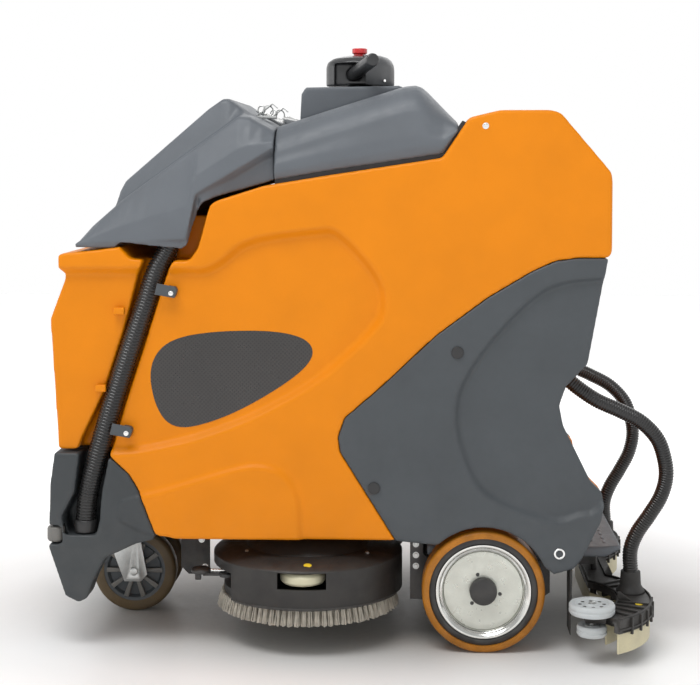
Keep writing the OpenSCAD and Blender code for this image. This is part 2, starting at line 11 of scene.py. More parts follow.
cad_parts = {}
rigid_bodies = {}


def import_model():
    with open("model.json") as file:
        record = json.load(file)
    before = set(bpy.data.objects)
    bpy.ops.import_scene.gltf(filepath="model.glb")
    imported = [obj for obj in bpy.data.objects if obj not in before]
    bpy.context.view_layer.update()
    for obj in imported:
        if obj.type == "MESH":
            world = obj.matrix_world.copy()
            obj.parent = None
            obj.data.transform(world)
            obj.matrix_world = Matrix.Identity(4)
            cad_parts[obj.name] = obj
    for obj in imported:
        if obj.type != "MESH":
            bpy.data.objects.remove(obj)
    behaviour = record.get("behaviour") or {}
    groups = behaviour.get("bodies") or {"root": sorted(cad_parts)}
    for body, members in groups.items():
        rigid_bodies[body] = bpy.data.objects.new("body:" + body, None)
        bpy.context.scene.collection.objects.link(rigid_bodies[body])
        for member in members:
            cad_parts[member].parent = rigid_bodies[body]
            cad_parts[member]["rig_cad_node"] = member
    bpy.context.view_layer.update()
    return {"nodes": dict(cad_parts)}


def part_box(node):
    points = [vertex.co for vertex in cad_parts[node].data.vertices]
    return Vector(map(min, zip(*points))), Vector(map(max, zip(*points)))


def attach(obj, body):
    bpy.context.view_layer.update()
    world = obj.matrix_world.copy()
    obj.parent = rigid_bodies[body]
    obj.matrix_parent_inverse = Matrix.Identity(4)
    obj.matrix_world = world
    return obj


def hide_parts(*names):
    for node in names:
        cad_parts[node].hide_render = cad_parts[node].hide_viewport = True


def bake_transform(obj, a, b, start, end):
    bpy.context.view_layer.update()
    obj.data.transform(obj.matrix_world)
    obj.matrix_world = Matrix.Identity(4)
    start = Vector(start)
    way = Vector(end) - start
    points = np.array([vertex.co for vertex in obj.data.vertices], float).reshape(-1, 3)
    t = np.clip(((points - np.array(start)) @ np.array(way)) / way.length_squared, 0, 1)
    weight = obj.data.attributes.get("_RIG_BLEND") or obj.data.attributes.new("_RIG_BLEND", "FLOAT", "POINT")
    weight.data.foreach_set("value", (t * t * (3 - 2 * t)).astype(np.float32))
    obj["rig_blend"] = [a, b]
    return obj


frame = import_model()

MM = 0.001
SENSOR, FOCAL, PICTURE = 36.0, 1521, 700  # sensor in mm; focal length and width in one unit
ORIGIN_X = 0.032  # shapes are drawn from a datum this far ahead of the frame's origin
NODES = frame["nodes"]
HALF_W = 0.380
WHEEL_X, WHEEL_Z, WHEEL_OUT = 0.280, 0.1425, 0.375
FRONT_X, FRONT_Z = -0.586, 0.105
BRUSH_X, BRUSH_Y = -0.136, 0.220
SQUEEGEE_X, SQUEEGEE_Y, SQUEEGEE_R = 0.444, 0.290, 0.232
ROLLER_X, ROLLER_Y = 0.522, 0.434
HEAD_X = -0.020
SIDES = (("left", -1), ("right", 1))


# ---------------------------------------------------------------- camera and hoses

def make_camera():
    data = bpy.data.cameras.new("camera")
    data.sensor_width = SENSOR
    data.lens = SENSOR * FOCAL / PICTURE
    data.shift_y = -0.15
    cam = linked("camera", data)
    cam.location = (0.120 + ORIGIN_X, -3.848, 1.140)
    pitch, yaw = math.atan2(77.5, FOCAL), math.atan2(65, FOCAL)
    cam.rotation_euler = (math.pi / 2 - pitch, 0.0, yaw)
    bpy.context.scene.camera = cam


def smooth_route(points, step):
    """Points every step along a Catmull-Rom curve through the given ones."""
    p = np.array(points, float)
    ext = np.vstack([2 * p[0] - p[1], p, 2 * p[-1] - p[-2]])
    fine = []
    for i in range(1, len(ext) - 2):
        for t in np.linspace(0, 1, 24, endpoint=False):
            a, b, c, d = ext[i - 1], ext[i], ext[i + 1], ext[i + 2]
            fine.append(0.5 * (2 * b + (c - a) * t + (2 * a - 5 * b + 4 * c - d) * t ** 2
                               + (3 * b - a - 3 * c + d) * t ** 3))
    fine.append(p[-1])
    fine = np.array(fine)
    along = np.concatenate([[0], np.cumsum(np.linalg.norm(np.diff(fine, axis=0), axis=1))])
    s = np.linspace(0, along[-1], max(8, int(along[-1] / step)))
    return np.stack([np.interp(s, along, fine[:, k]) for k in range(3)], axis=1), along[-1]


def linked(name, data):
    """A new object in the scene."""
    ob = bpy.data.objects.new(name, data)
    bpy.context.scene.collection.objects.link(ob)
    return ob


@contextmanager
def editing(mesh, source=None):
    """A bmesh of the mesh, or of another one, written to the mesh at the end."""
    bm = bmesh.new()
    bm.from_mesh(source or mesh)
    yield bm
    bm.to_mesh(mesh)
    bm.free()


def skin(rows, n, closed=True):
    """The faces between rows of n points each."""
    return [(i * n + k, i * n + (k + 1) % n, (i + 1) * n + (k + 1) % n, (i + 1) * n + k)
            for i in range(rows - 1) for k in range(n if closed else n - 1)]


def ends(rows, n):
    """The faces over the first and the last row."""
    return [tuple(range(n)), tuple(range((rows - 1) * n, rows * n))]


def new_object(name, verts, faces, smooth=True):
    mesh = bpy.data.meshes.new(name)
    mesh.from_pydata([tuple(v) for v in verts], [], [tuple(f) for f in faces])
    mesh.validate()
    with editing(mesh) as bm:
        bmesh.ops.recalc_face_normals(bm, faces=bm.faces)
    if smooth:
        mesh.shade_smooth()
    return linked(name, mesh)


def corrugated(name, points, radius, pitch, depth, around=28):
    """A corrugated hose along a route: rounded ribs a pitch apart."""
    line, length = smooth_route(points, pitch / 6)
    n = len(line)
    tangent = np.gradient(line, axis=0)
    tangent /= np.linalg.norm(tangent, axis=1)[:, None]
    side = np.cross(tangent[0], [0.1, 1.0, 0.05])
    verts = []
    for i in range(n):
        side = side - tangent[i] * side.dot(tangent[i])
        side /= np.linalg.norm(side)
        up = np.cross(tangent[i], side)
        phase = (i / (n - 1)) * length / pitch
        wave = abs(math.cos(math.pi * phase)) ** 0.7
        r = radius - depth * (1 - wave)
        for k in range(around):
            a = math.tau * k / around
            verts.append(line[i] + r * (math.cos(a) * side + math.sin(a) * up))
    faces = [(i * around + k, (i + 1) * around + k, (i + 1) * around + (k + 1) % around,
              i * around + (k + 1) % around) for i in range(n - 1) for k in range(around)]
    return new_object(name, verts, faces + ends(n, around)), line, length


DRAIN_ROUTE = [(-440, -341, 960), (-460, -342, 920), (-482, -348, 878), (-504, -354, 810),
               (-527, -360, 741), (-550, -362, 673), (-572, -362, 605), (-590, -362, 548),
               (-607, -360, 491), (-622, -358, 440), (-634, -356, 395), (-644, -352, 350),
               (-650, -348, 300)]
SUCTION_ROUTE = [(448, -302, 656), (470, -302, 636), (500, -301, 610), (545, -300, 580),
                 (600, -296, 555), (650, -291, 528), (688, -286, 488), (706, -281, 440),
                 (711, -276, 395), (700, -270, 348), (675, -263, 302), (648, -256, 258),
                 (633, -252, 215), (634, -250, 165)]

make_camera()


def make_hoses():
    pieces = {}
    drain, _, _ = corrugated("drain_hose_ribbed", np.array(DRAIN_ROUTE) * MM, 0.0238, 0.0072, 0.0030)
    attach(drain, "root")
    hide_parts("drain_hose")
    pieces["drain"] = drain
    for side, s in (("left", 1), ("right", -1)):
        route = np.array(SUCTION_ROUTE) * MM * np.array([1, s, 1]) + np.array([ORIGIN_X, 0, 0])
        hose, line, length = corrugated(f"suction_hose_{side}_ribbed", route, 0.0178, 0.0062, 0.0024)
        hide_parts(f"suction_hose_{side}")
        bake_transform(hose, "root", "squeegee", start=(0.711 + ORIGIN_X, s * -0.276, 0.50),
                 end=(0.648 + ORIGIN_X, s * -0.256, 0.22))
        pieces[side] = hose
    return pieces


HOSES = make_hoses()


# ---------------------------------------------------------------- materials

def shader(tree, kind, feeds=(), values=(), **settings):
    """A shader node with its settings, the sockets that feed it and its constants."""
    k = tree.nodes.new("ShaderNode" + kind)
    for key, value in settings.items():
        setattr(k, key, value)
    for socket, value in dict(values).items():
        k.inputs[socket].default_value = value
    for socket, source in dict(feeds).items():
        tree.links.new(source, k.inputs[socket])
    return k


def remap(tree, value, lo, hi, to_lo, to_hi, **settings):
    """The value taken from one range to another."""
    return shader(tree, "MapRange", {0: value}, {1: lo, 2: hi, 3: to_lo, 4: to_hi},
                  **settings).outputs[0]


def mix(tree, fac, a, b):
    """Two colours, or colour sockets, mixed by a socket."""
    k = shader(tree, "Mix", {0: fac}, data_type="RGBA")
    for socket, value in ((k.inputs[6], a), (k.inputs[7], b)):
        if isinstance(value, tuple):
            socket.default_value = (*value, 1.0)
        else:
            tree.links.new(value, socket)
    return k.outputs[2]


def product(tree, a, b):
    return shader(tree, "Math", {0: a, 1: b}, operation="MULTIPLY").outputs[0]


def material(name, rgb, rough=0.5, metal=0.0, grain=900.0, grain_bump=0.06, mottle=0.05,
             wear=0.0, wear_rgb=(0.8, 0.8, 0.8), dust=0.0, scratch=0.0, coat=0.0, spec=0.5,
             mottle_scale=9.0, wave=0.0):
    """A surface with fine grain, uneven colour and gloss, worn edges and some floor dust."""
    m = bpy.data.materials.new(name)
    m.use_nodes = True
    t = m.node_tree
    t.nodes.clear()
    b = shader(t, "BsdfPrincipled", (), {"Metallic": metal, "Coat Weight": coat,
                                         "Coat Roughness": 0.15, "Specular IOR Level": spec})
    shader(t, "OutputMaterial", {0: b.outputs[0]})
    place = shader(t, "TexCoord").outputs["Object"]

    def noise(scale, detail=3.0, vec=place):
        return shader(t, "TexNoise", {"Vector": vec}, {"Scale": scale, "Detail": detail}).outputs[0]

    def bump(height, strength, distance, under=None):
        feeds = {"Height": height, **({"Normal": under} if under else {})}
        return shader(t, "Bump", feeds, {"Strength": strength, "Distance": distance}).outputs[0]

    big, mid, fine = noise(mottle_scale), noise(60.0, 4.0), noise(grain, 2.0)
    dark = tuple(c * (1 - mottle * 1.6) for c in rgb)
    light = tuple(min(1.0, c * (1 + mottle)) for c in rgb)
    col = mix(t, remap(t, big, 0.3, 0.7, 0.0, 1.0), dark, light)
    col = mix(t, remap(t, fine, 0.35, 0.65, 0.0, mottle * 3), col, tuple(c * 0.7 for c in rgb))
    if wear:
        edge = remap(t, shader(t, "NewGeometry").outputs["Pointiness"], 0.53, 0.60, 0.0, wear)
        col = mix(t, product(t, edge, remap(t, mid, 0.35, 0.65, 0.2, 1.0)), col, wear_rgb)
    if dust:
        low = remap(t, shader(t, "SeparateXYZ", {0: place}).outputs[2], 0.02, 0.42, dust, 0.0)
        patches = remap(t, noise(24.0, 5.0), 0.35, 0.7, 0.15, 1.0)
        col = mix(t, product(t, low, patches), col, (0.36, 0.33, 0.28))
    t.links.new(col, b.inputs["Base Color"])
    t.links.new(remap(t, mid, 0.25, 0.75, max(0.04, rough - 0.07), min(1.0, rough + 0.09)),
                b.inputs["Roughness"])
    last = bump(fine, grain_bump, 0.0006)
    if wave:
        last = bump(noise(14.0, 1.0), wave, 0.004, last)
    if scratch:
        long = shader(t, "Mapping", {0: place}, {"Scale": (1.0, 1.0, 45.0)}).outputs[0]
        last = bump(noise(18.0, 6.0, long), scratch, 0.0003, last)
    t.links.new(last, b.inputs["Normal"])
    return m


def parts_of(m):
    """A material's tree, its surface node, its colour socket and its place socket."""
    t = m.node_tree
    surface = next(k for k in t.nodes if k.type == "BSDF_PRINCIPLED")
    base = surface.inputs["Base Color"].links[0].from_socket
    return t, surface, base, next(k for k in t.nodes if k.type == "TEX_COORD").outputs["Object"]


MAT = {
    "orange": material(
        "tank_plastic", (0.700, 0.212, 0.0), 0.42, spec=0.22, grain=700, grain_bump=0.10, mottle=0.03,
        wear=0.18, wear_rgb=(0.92, 0.38, 0.03), dust=0.03, wave=0.03),
    "grey": material(
        "grey_plastic", (0.052, 0.060, 0.067), 0.50, grain=1100, grain_bump=0.30, mottle=0.06, wear=0.25,
        wear_rgb=(0.20, 0.215, 0.23), dust=0.04),
    "bumper": material(
        "bumper_plastic", (0.036, 0.042, 0.046), 0.52, grain=1000, grain_bump=0.30, mottle=0.08,
        wear=0.25, wear_rgb=(0.16, 0.175, 0.18), dust=0.06),
    "hood": material(
        "hood_plastic", (0.105, 0.117, 0.132), 0.50, grain=1000, grain_bump=0.40, mottle=0.06, wear=0.25,
        wear_rgb=(0.25, 0.27, 0.29)),
    "black": material(
        "black_plastic", (0.020, 0.020, 0.021), 0.42, grain=900, grain_bump=0.20, mottle=0.10, wear=0.20,
        wear_rgb=(0.09, 0.09, 0.09), dust=0.10),
    "head": material(
        "head_plastic", (0.030, 0.031, 0.033), 0.34, grain=900, grain_bump=0.12, mottle=0.06, wear=0.20,
        wear_rgb=(0.12, 0.12, 0.12), coat=0.15),
    "deck": material(
        "deck_plastic", (0.017, 0.0155, 0.0145), 0.50, grain=800, grain_bump=0.35, mottle=0.12, wear=0.25,
        wear_rgb=(0.10, 0.095, 0.09), dust=0.05),
    "hose": material(
        "hose_plastic", (0.011, 0.0107, 0.0110), 0.28, grain=600, grain_bump=0.08, mottle=0.12, dust=0.10,
        coat=0.1),
    "frame": material(
        "frame_paint", (0.022, 0.022, 0.024), 0.45, grain=500, grain_bump=0.15, mottle=0.12, wear=0.35,
        wear_rgb=(0.20, 0.19, 0.18), dust=0.12),
    "zinc": material(
        "zinc_steel", (0.60, 0.61, 0.60), 0.36, metal=1.0, grain=260, grain_bump=0.12, mottle=0.10,
        scratch=0.25, dust=0.12, mottle_scale=30),
    "bright": material(
        "bright_steel", (0.78, 0.78, 0.77), 0.17, metal=1.0, grain=400, grain_bump=0.04, mottle=0.04,
        scratch=0.18, mottle_scale=20),
    "disc": material(
        "disc_steel", (0.60, 0.61, 0.55), 0.30, metal=0.55, grain=300, grain_bump=0.05, mottle=0.05,
        scratch=0.10, mottle_scale=25),
    "disc_rim": material(
        "disc_rim", (0.72, 0.72, 0.69), 0.16, metal=1.0, grain=300, grain_bump=0.04, mottle=0.05,
        scratch=0.10, mottle_scale=25),
    "tyre_orange": material(
        "tyre_orange", (0.42, 0.155, 0.010), 0.40, spec=0.30, grain=500, grain_bump=0.25, mottle=0.18,
        dust=0.05, mottle_scale=30),
    "tyre_brown": material(
        "tyre_brown", (0.120, 0.080, 0.036), 0.48, spec=0.35, grain=500, grain_bump=0.3, mottle=0.18,
        dust=0.08, mottle_scale=30),
    "rubber": material(
        "black_rubber", (0.016, 0.016, 0.017), 0.66, grain=700, grain_bump=0.3, mottle=0.15, dust=0.12),
    "blade": material(
        "gum_rubber", (0.62, 0.56, 0.36), 0.46, grain=500, grain_bump=0.15, mottle=0.08, dust=0.25),
    "roller": material(
        "roller_grey", (0.50, 0.53, 0.54), 0.40, grain=700, grain_bump=0.15, mottle=0.06, dust=0.18),
    "cream": material(
        "roller_cream", (0.60, 0.57, 0.40), 0.42, grain=700, grain_bump=0.1, mottle=0.06, dust=0.15),
    "bristle": material(
        "bristle_nylon", (0.62, 0.575, 0.49), 0.60, grain=1500, grain_bump=0.5, mottle=0.22, dust=0.25,
        mottle_scale=60),
    "red": material(
        "button_red", (0.58, 0.012, 0.016), 0.28, grain=700, grain_bump=0.06, mottle=0.05, coat=0.3),
    "display": material(
        "display", (0.012, 0.014, 0.018), 0.08, grain=300, grain_bump=0.01, mottle=0.02, coat=0.6),
    "battery": material(
        "battery_case", (0.03, 0.03, 0.035), 0.5, grain=700, grain_bump=0.2, mottle=0.08),
    "wheel_grey": material(
        "wheel_grey", (0.15, 0.145, 0.135), 0.45, grain=700, grain_bump=0.15, mottle=0.10, dust=0.12),
    "cowl": material(
        "cowl_plastic", (0.070, 0.073, 0.077), 0.38, grain=900, grain_bump=0.15, mottle=0.06, wear=0.20,
        wear_rgb=(0.22, 0.225, 0.23)),
    "dot": material(
        "marker_yellow", (0.75, 0.55, 0.03), 0.4, grain=700, grain_bump=0.05, mottle=0.05),
}


def decal_material():
    """A dark film printed with rows of small darker dots."""
    m = material("decal_film", (0.030, 0.026, 0.024), 0.30, grain=500, grain_bump=0.05,
                 mottle=0.10, coat=0.25)
    t, surface, base, place = parts_of(m)
    flat = shader(t, "Mapping", {0: place}, {"Rotation": (0.0, math.radians(45), 0.0),
                                             "Scale": (150.0, 0.0, 150.0)}).outputs[0]
    cell = shader(t, "VectorMath", {0: flat}, operation="FRACTION").outputs[0]
    mid = shader(t, "VectorMath", {0: cell}, {1: (0.5, 0.0, 0.5)}, operation="DISTANCE")
    dot = remap(t, mid.outputs["Value"], 0.22, 0.34, 0.0, 1.0)
    t.links.new(mix(t, dot, (0.006, 0.005, 0.005), base), surface.inputs["Base Color"])
    return m


MAT["decal"] = decal_material()


for hose in HOSES.values():
    hose.data.materials.append(MAT["hose"])


# ---------------------------------------------------------------- tools for shapes

def finish_piece(ob, mat, body=None, replaces=()):
    ob.data.materials.clear()
    ob.data.materials.append(MAT[mat])
    if body:
        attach(ob, body)
    if replaces:
        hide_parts(*replaces)
    return ob


def node_copy(name, node, extra=()):
    """A copy of a CAD node's mesh, with closed boxes added to fill its hidden hollows."""
    mesh = bpy.data.meshes.new(name)
    with editing(mesh, NODES[node].data) as bm:
        bmesh.ops.translate(bm, vec=(-ORIGIN_X, 0, 0), verts=bm.verts)
        bmesh.ops.remove_doubles(bm, verts=bm.verts, dist=1e-6)
        for lo, hi in extra:
            made = bmesh.ops.create_cube(bm, size=1.0)["verts"]
            size, mid = Vector(hi) - Vector(lo), (Vector(hi) + Vector(lo)) / 2
            for v in made:
                v.co = Vector((v.co[i] * size[i] + mid[i] for i in range(3)))
    return linked(name, mesh)


def applied(ob):
    """The object with its modifiers made real."""
    deps = bpy.context.evaluated_depsgraph_get()
    mesh = bpy.data.meshes.new_from_object(ob.evaluated_get(deps))
    old = ob.data
    ob.modifiers.clear()
    ob.data = mesh
    bpy.data.meshes.remove(old)
    return ob


def box_faces(lo, hi):
    (x0, y0, z0), (x1, y1, z1) = lo, hi
    v = [(x0, y0, z0), (x1, y0, z0), (x1, y1, z0), (x0, y1, z0),
         (x0, y0, z1), (x1, y0, z1), (x1, y1, z1), (x0, y1, z1)]
    f = [(0, 3, 2, 1), (4, 5, 6, 7), (0, 1, 5, 4), (1, 2, 6, 5), (2, 3, 7, 6), (3, 0, 4, 7)]
    return v, f


def box(name, lo, hi, turn=None):
    """A box, turned and moved by a matrix if there is one."""
    ob = new_object(name, *box_faces(lo, hi))
    if turn:
        ob.data.transform(turn)
    return ob


def turned(place, degrees, axis):
    """A turn in degrees about an axis, and a move."""
    return Matrix.Translation(place) @ Matrix.Rotation(math.radians(degrees), 4, axis)


def modifier(ob, kind, **settings):
    mod = ob.modifiers.new("change", kind)
    for key, value in settings.items():
        setattr(mod, key, value)


def round_edges(ob, width, segments=3, angle=30):
    modifier(ob, "BEVEL", width=width, segments=segments, limit_method="ANGLE",
             angle_limit=math.radians(angle))
    applied(ob)
    ob.data.shade_smooth()
    ob.data.set_sharp_from_angle(angle=math.radians(35))


def moulded(ob, voxel, smooth):
    """Remeshes the object evenly and rounds its edges."""
    modifier(ob, "REMESH", mode="VOXEL", voxel_size=voxel)
    modifier(ob, "SMOOTH", factor=0.5, iterations=smooth)
    applied(ob)
    keep_largest(ob)


def soften(name, node, voxel, smooth, extra=(), relief=None):
    """A moulded skin over a CAD node: remeshed evenly, its edges rounded, then embossed."""
    ob = node_copy(name, node, extra)
    moulded(ob, voxel, smooth)
    if relief:
        mesh = ob.data
        co = np.empty(len(mesh.vertices) * 3)
        mesh.vertices.foreach_get("co", co)
        co = relief(co.reshape(-1, 3))
        mesh.vertices.foreach_set("co", co.ravel())
        mesh.update()
    ob.data.shade_smooth()
    return ob


def keep_largest(ob):
    """Drops the small loose bits that a remesh leaves."""
    bm = bmesh.new()
    bm.from_mesh(ob.data)
    bm.verts.ensure_lookup_table()
    seen, groups = set(), []
    for v in bm.verts:
        if v in seen:
            continue
        stack, group = [v], []
        seen.add(v)
        while stack:
            w = stack.pop()
            group.append(w)
            for e in w.link_edges:
                o = e.other_vert(w)
                if o not in seen:
                    seen.add(o)
                    stack.append(o)
        groups.append(group)
    most = max(len(g) for g in groups)
    drop = [v for g in groups if len(g) < most * 0.02 for v in g]
    bmesh.ops.delete(bm, geom=drop, context="VERTS")
    bm.to_mesh(ob.data)
    bm.free()


def bevelled(name, node, width=0.0015, segments=2, mat="frame", body="root", slot=None):
    """A CAD node's own shape with flat faces joined and its edges broken."""
    ob = node_copy(name, node)
    with editing(ob.data) as bm:
        bmesh.ops.dissolve_limit(bm, angle_limit=math.radians(0.6), verts=bm.verts,
                                 edges=bm.edges)
    modifier(ob, "BEVEL", width=width, segments=segments, limit_method="ANGLE",
             angle_limit=math.radians(32))
    ob.data.shade_smooth()
    applied(ob)
    ob.data.set_sharp_from_angle(angle=math.radians(32))
    return finish_piece(ob, mat, body, (node,))


def inside_distance(points, poly):
    """Signed distance to a closed outline in the side view, positive inside."""
    poly = np.array(poly, float)
    a, b = poly, np.roll(poly, -1, axis=0)
    best = np.full(len(points), 1e9)
    inside = np.zeros(len(points), bool)
    for p, q in zip(a, b):
        d = q - p
        t = np.clip(((points - p) @ d) / max(d @ d, 1e-12), 0, 1)
        best = np.minimum(best, np.linalg.norm(points - (p + t[:, None] * d), axis=1))
        cross = ((p[1] > points[:, 1]) != (q[1] > points[:, 1]))
        with np.errstate(divide="ignore", invalid="ignore"):
            x = p[0] + (points[:, 1] - p[1]) / (q[1] - p[1]) * (q[0] - p[0])
        inside ^= cross & (points[:, 0] < x)
    return np.where(inside, best, -best)


def rounded(poly, times=3):
    """Cuts an outline's corners round."""
    p = np.array(poly, float)
    for _ in range(times):
        q = np.roll(p, -1, axis=0)
        p = np.stack([p * 0.75 + q * 0.25, p * 0.25 + q * 0.75], axis=1).reshape(-1, 2)
    return p


def step(d, width):
    t = np.clip(d / width + 0.5, 0, 1)
    return 0.75 * t + 0.25 * t * t * (3 - 2 * t)


def flank_relief(parts, reach=0.352):
    """Steps on the flanks. Each part is (outline in mm, height in m, width of the step)."""
    shapes = [(rounded(np.array(o) * MM, 2), h, w) for o, h, w in parts]

    def relief(co):
        side = np.sign(co[:, 1])
        near = np.abs(co[:, 1]) > reach
        pts = co[near][:, [0, 2]]
        h = np.zeros(len(pts))
        for outline, height, width in shapes:
            h += height * step(inside_distance(pts, outline), width)
        co = co.copy()
        full = np.clip((np.abs(co[near, 1]) - reach) / 0.014, 0, 1)
        co[near, 1] += side[near] * h * full
        return co
    return relief


def lathe(name, profile, centre, axis="Y", around=96, flip=1):
    """A turned piece. The profile is (radius, place along the axis) in m."""
    verts, faces = [], []
    n = len(profile)
    for k in range(around):
        a = math.tau * k / around
        c, s = math.cos(a), math.sin(a)
        for r, h in profile:
            if axis == "Y":
                verts.append((centre[0] + r * c, centre[1] + flip * h, centre[2] + r * s))
            else:
                verts.append((centre[0] + r * c, centre[1] + r * s, centre[2] + flip * h))
    for k in range(around):
        m = (k + 1) % around
        for i in range(n):
            j = (i + 1) % n
            faces.append((k * n + i, k * n + j, m * n + j, m * n + i))
    ob = new_object(name, verts, faces)
    with editing(ob.data) as bm:
        bmesh.ops.remove_doubles(bm, verts=bm.verts, dist=1e-6)
        bmesh.ops.recalc_face_normals(bm, faces=bm.faces)
    ob.data.set_sharp_from_angle(angle=math.radians(38))
    return ob


def joined(name, parts):
    """Several meshes made into one object."""
    bm = bmesh.new()
    for p in parts:
        bm.from_mesh(p.data)
    mesh = bpy.data.meshes.new(name)
    bm.to_mesh(mesh)
    bm.free()
    for p in parts:
        data = p.data
        bpy.data.objects.remove(p)
        bpy.data.meshes.remove(data)
    mesh.shade_smooth()
    mesh.set_sharp_from_angle(angle=math.radians(38))
    return linked(name, mesh)


def bolt(centre, direction, radius, height, sides=6, washer=1.35):
    """A bolt head with a washer and a chamfered rim."""
    bm = bmesh.new()

    def ring(r, h, count, shift=0.0):
        angles = [math.tau * (k + shift) / count for k in range(count)]
        return [bm.verts.new((r * math.cos(a), r * math.sin(a), h)) for a in angles]

    def wall(low, high):
        for k in range(len(low)):
            bm.faces.new((low[k], low[(k + 1) % len(low)],
                          high[(k + 1) % len(low)], high[k]))
        return high

    foot = ring(radius * washer, 0.0, 32)
    bm.faces.new(wall(foot, ring(radius * washer, height * 0.22, 32)))
    rings = [(radius, height * 0.85), (radius * 0.86, height)]
    if sides > 12:
        rings += [(radius * 0.45, height), (radius * 0.42, height * 0.55)]
    low = ring(radius, height * 0.2, sides, 0.5)
    for r, h in rings:
        low = wall(low, ring(r, h, sides, 0.5))
    bm.faces.new(low)
    turn = Vector((0, 0, 1)).rotation_difference(Vector(direction).normalized()).to_matrix()
    bmesh.ops.transform(bm, matrix=Matrix.Translation(Vector(centre)) @ turn.to_4x4(),
                        verts=bm.verts)
    bmesh.ops.recalc_face_normals(bm, faces=bm.faces)
    mesh = bpy.data.meshes.new("bolt")
    bm.to_mesh(mesh)
    bm.free()
    mesh.shade_smooth()
    mesh.set_sharp_from_angle(angle=math.radians(30))
    return linked("bolt", mesh)


def bolts(name, places, mat, body, radius=0.004, height=0.003, sides=6):
    obs = [bolt(c, d, radius, height, sides) for c, d in places]
    return finish_piece(joined(name, obs), mat, body)


# ---------------------------------------------------------------- orange tank

POCKET_DEPTH = 0.018
POCKET = [(-900, 884), (-520, 884), (-400, 886), (-366, 882), (-320, 905), (-268, 955), (-90, 978),
          (-60, 976), (10, 905), (44, 850), (50, 800), (30, 755), (-70, 660), (-150, 604),
          (-260, 545), (-380, 500), (-470, 478), (-560, 462), (-900, 462)]
LOWER_PANEL = [(-600, 366), (-520, 362), (-430, 386), (-280, 434), (-232, 437), (-190, 424),
               (-160, 392), (-146, 350), (-140, 200), (-600, 200)]


def tank_relief():
    """The steps of the flanks, and the lip that stands forward along the tank's front."""
    flanks = flank_relief([(POCKET, -POCKET_DEPTH, 0.019), (LOWER_PANEL, 0.009, 0.014)])

    def relief(co):
        co = flanks(co)
        front = (co[:, 0] < -0.640) & (co[:, 2] > 0.860)
        rise = step(co[:, 2] - 0.884, 0.014)
        co[front, 0] -= 0.012 * rise[front]
        return co
    return relief


def make_tank():
    filler = [((-0.440, -0.340, 0.262), (0.146, 0.340, 0.275)),
              ((-0.700, -0.290, 0.500), (-0.400, 0.375, 0.895)),
              ((-0.480, -0.290, 0.350), (-0.400, 0.375, 0.520)),
              ((-0.440, -0.290, 0.270), (-0.060, 0.375, 1.010)),
              ((-0.100, -0.290, 0.270), (0.140, 0.330, 1.060)),
              ((0.210, 0.294, 0.960), (0.530, 0.376, 1.140)),
              ((0.210, -0.376, 0.960), (0.530, -0.294, 1.140))]
    tank = soften("tank_body", "main_tank", 0.0050, 12, filler, tank_relief())
    finish_piece(tank, "orange", "root", ("main_tank",))

    # Two short tabs on the front edge of the hose channel
    tab = joined("channel_tabs", [
        box("tab", (x - 0.014, -0.3815, z - 0.008), (x + 0.010, -0.3660, z + 0.008))
        for x, z in ((-0.560, 0.792), (-0.604, 0.612))])
    round_edges(tab, 0.0025)
    finish_piece(tab, "orange", "root")
    bolts("wing_screws", [((0.280, s * 0.3795, 1.2175), (0, s, 0)) for s in (-1, 1)], "bright",
          "root", 0.0055, 0.003, 24)


make_tank()


# ---------------------------------------------------------------- grey covers and hoods

COVER_PANEL = [(470, 868), (385, 828), (248, 672), (206, 556), (254, 400), (314, 352), (448, 306),
               (500, 330), (540, 330), (640, 500), (500, 640), (640, 870)]
BUMPER_PAD = [(-566, 348), (-548, 356), (-500, 366), (-400, 366), (-400, 240), (-560, 296),
              (-572, 322)]


def steering_cowl():
    """The grey rear shell of the steering head, with its rounded rear."""
    n = 40
    rings = []
    for r, z in ((0.0850, 1.3262), (0.0866, 1.3285), (0.0866, 1.3640), (0.0852, 1.3760),
                 (0.0800, 1.3870), (0.0700, 1.3955), (0.0560, 1.4000), (0.0400, 1.4018)):
        a = np.linspace(-math.radians(78), math.radians(78), n)
        rings.append([(HEAD_X + r * math.cos(t), r * math.sin(t), z) for t in a])
    verts = [p for ring in rings for p in ring]
    ob = new_object("steering_head_cowl", verts, skin(len(rings), n, closed=False))
    modifier(ob, "SOLIDIFY", thickness=0.0016, offset=0.0)
    applied(ob)
    ob.data.shade_smooth()
    ob.data.set_sharp_from_angle(angle=math.radians(45))
    return ob


def make_covers():
    relief = flank_relief([(COVER_PANEL, -0.013, 0.013)])
    for side in ("left", "right"):
        cover = soften(f"side_cover_{side}_skin", f"side_cover_{side}", 0.0045, 3, (), relief)
        finish_piece(cover, "grey", "root", (f"side_cover_{side}",))
    bumper = soften("front_bumper_skin", "front_bumper", 0.0045, 6, (),
                    flank_relief([(BUMPER_PAD, 0.006, 0.007)]))
    finish_piece(bumper, "bumper", "root", ("front_bumper",))
    box = soften("console_box_skin", "console_box", 0.004, 4)
    finish_piece(box, "hood", "root", ("console_box",))
    plate = soften("platform_skin", "platform_plate", 0.004, 3)
    finish_piece(plate, "hood", "root", ("platform_plate",))
    head = soften("steering_head_skin", "steering_head", 0.003, 3)
    finish_piece(head, "head", "steering", ("steering_head",))
    cowl = steering_cowl()
    finish_piece(cowl, "cowl", "steering")


make_covers()


# ---------------------------------------------------------------- hinged lid

def along(x, table):
    xs, vs = zip(*table)
    return float(np.interp(x, xs, vs))


def both_halves(x, half):
    """A cross-section at x from its right half, top first, in mm."""
    left = [(-y, z) for y, z in reversed(half[1:])]
    return [(x * MM, y * MM, z * MM) for y, z in left + half]


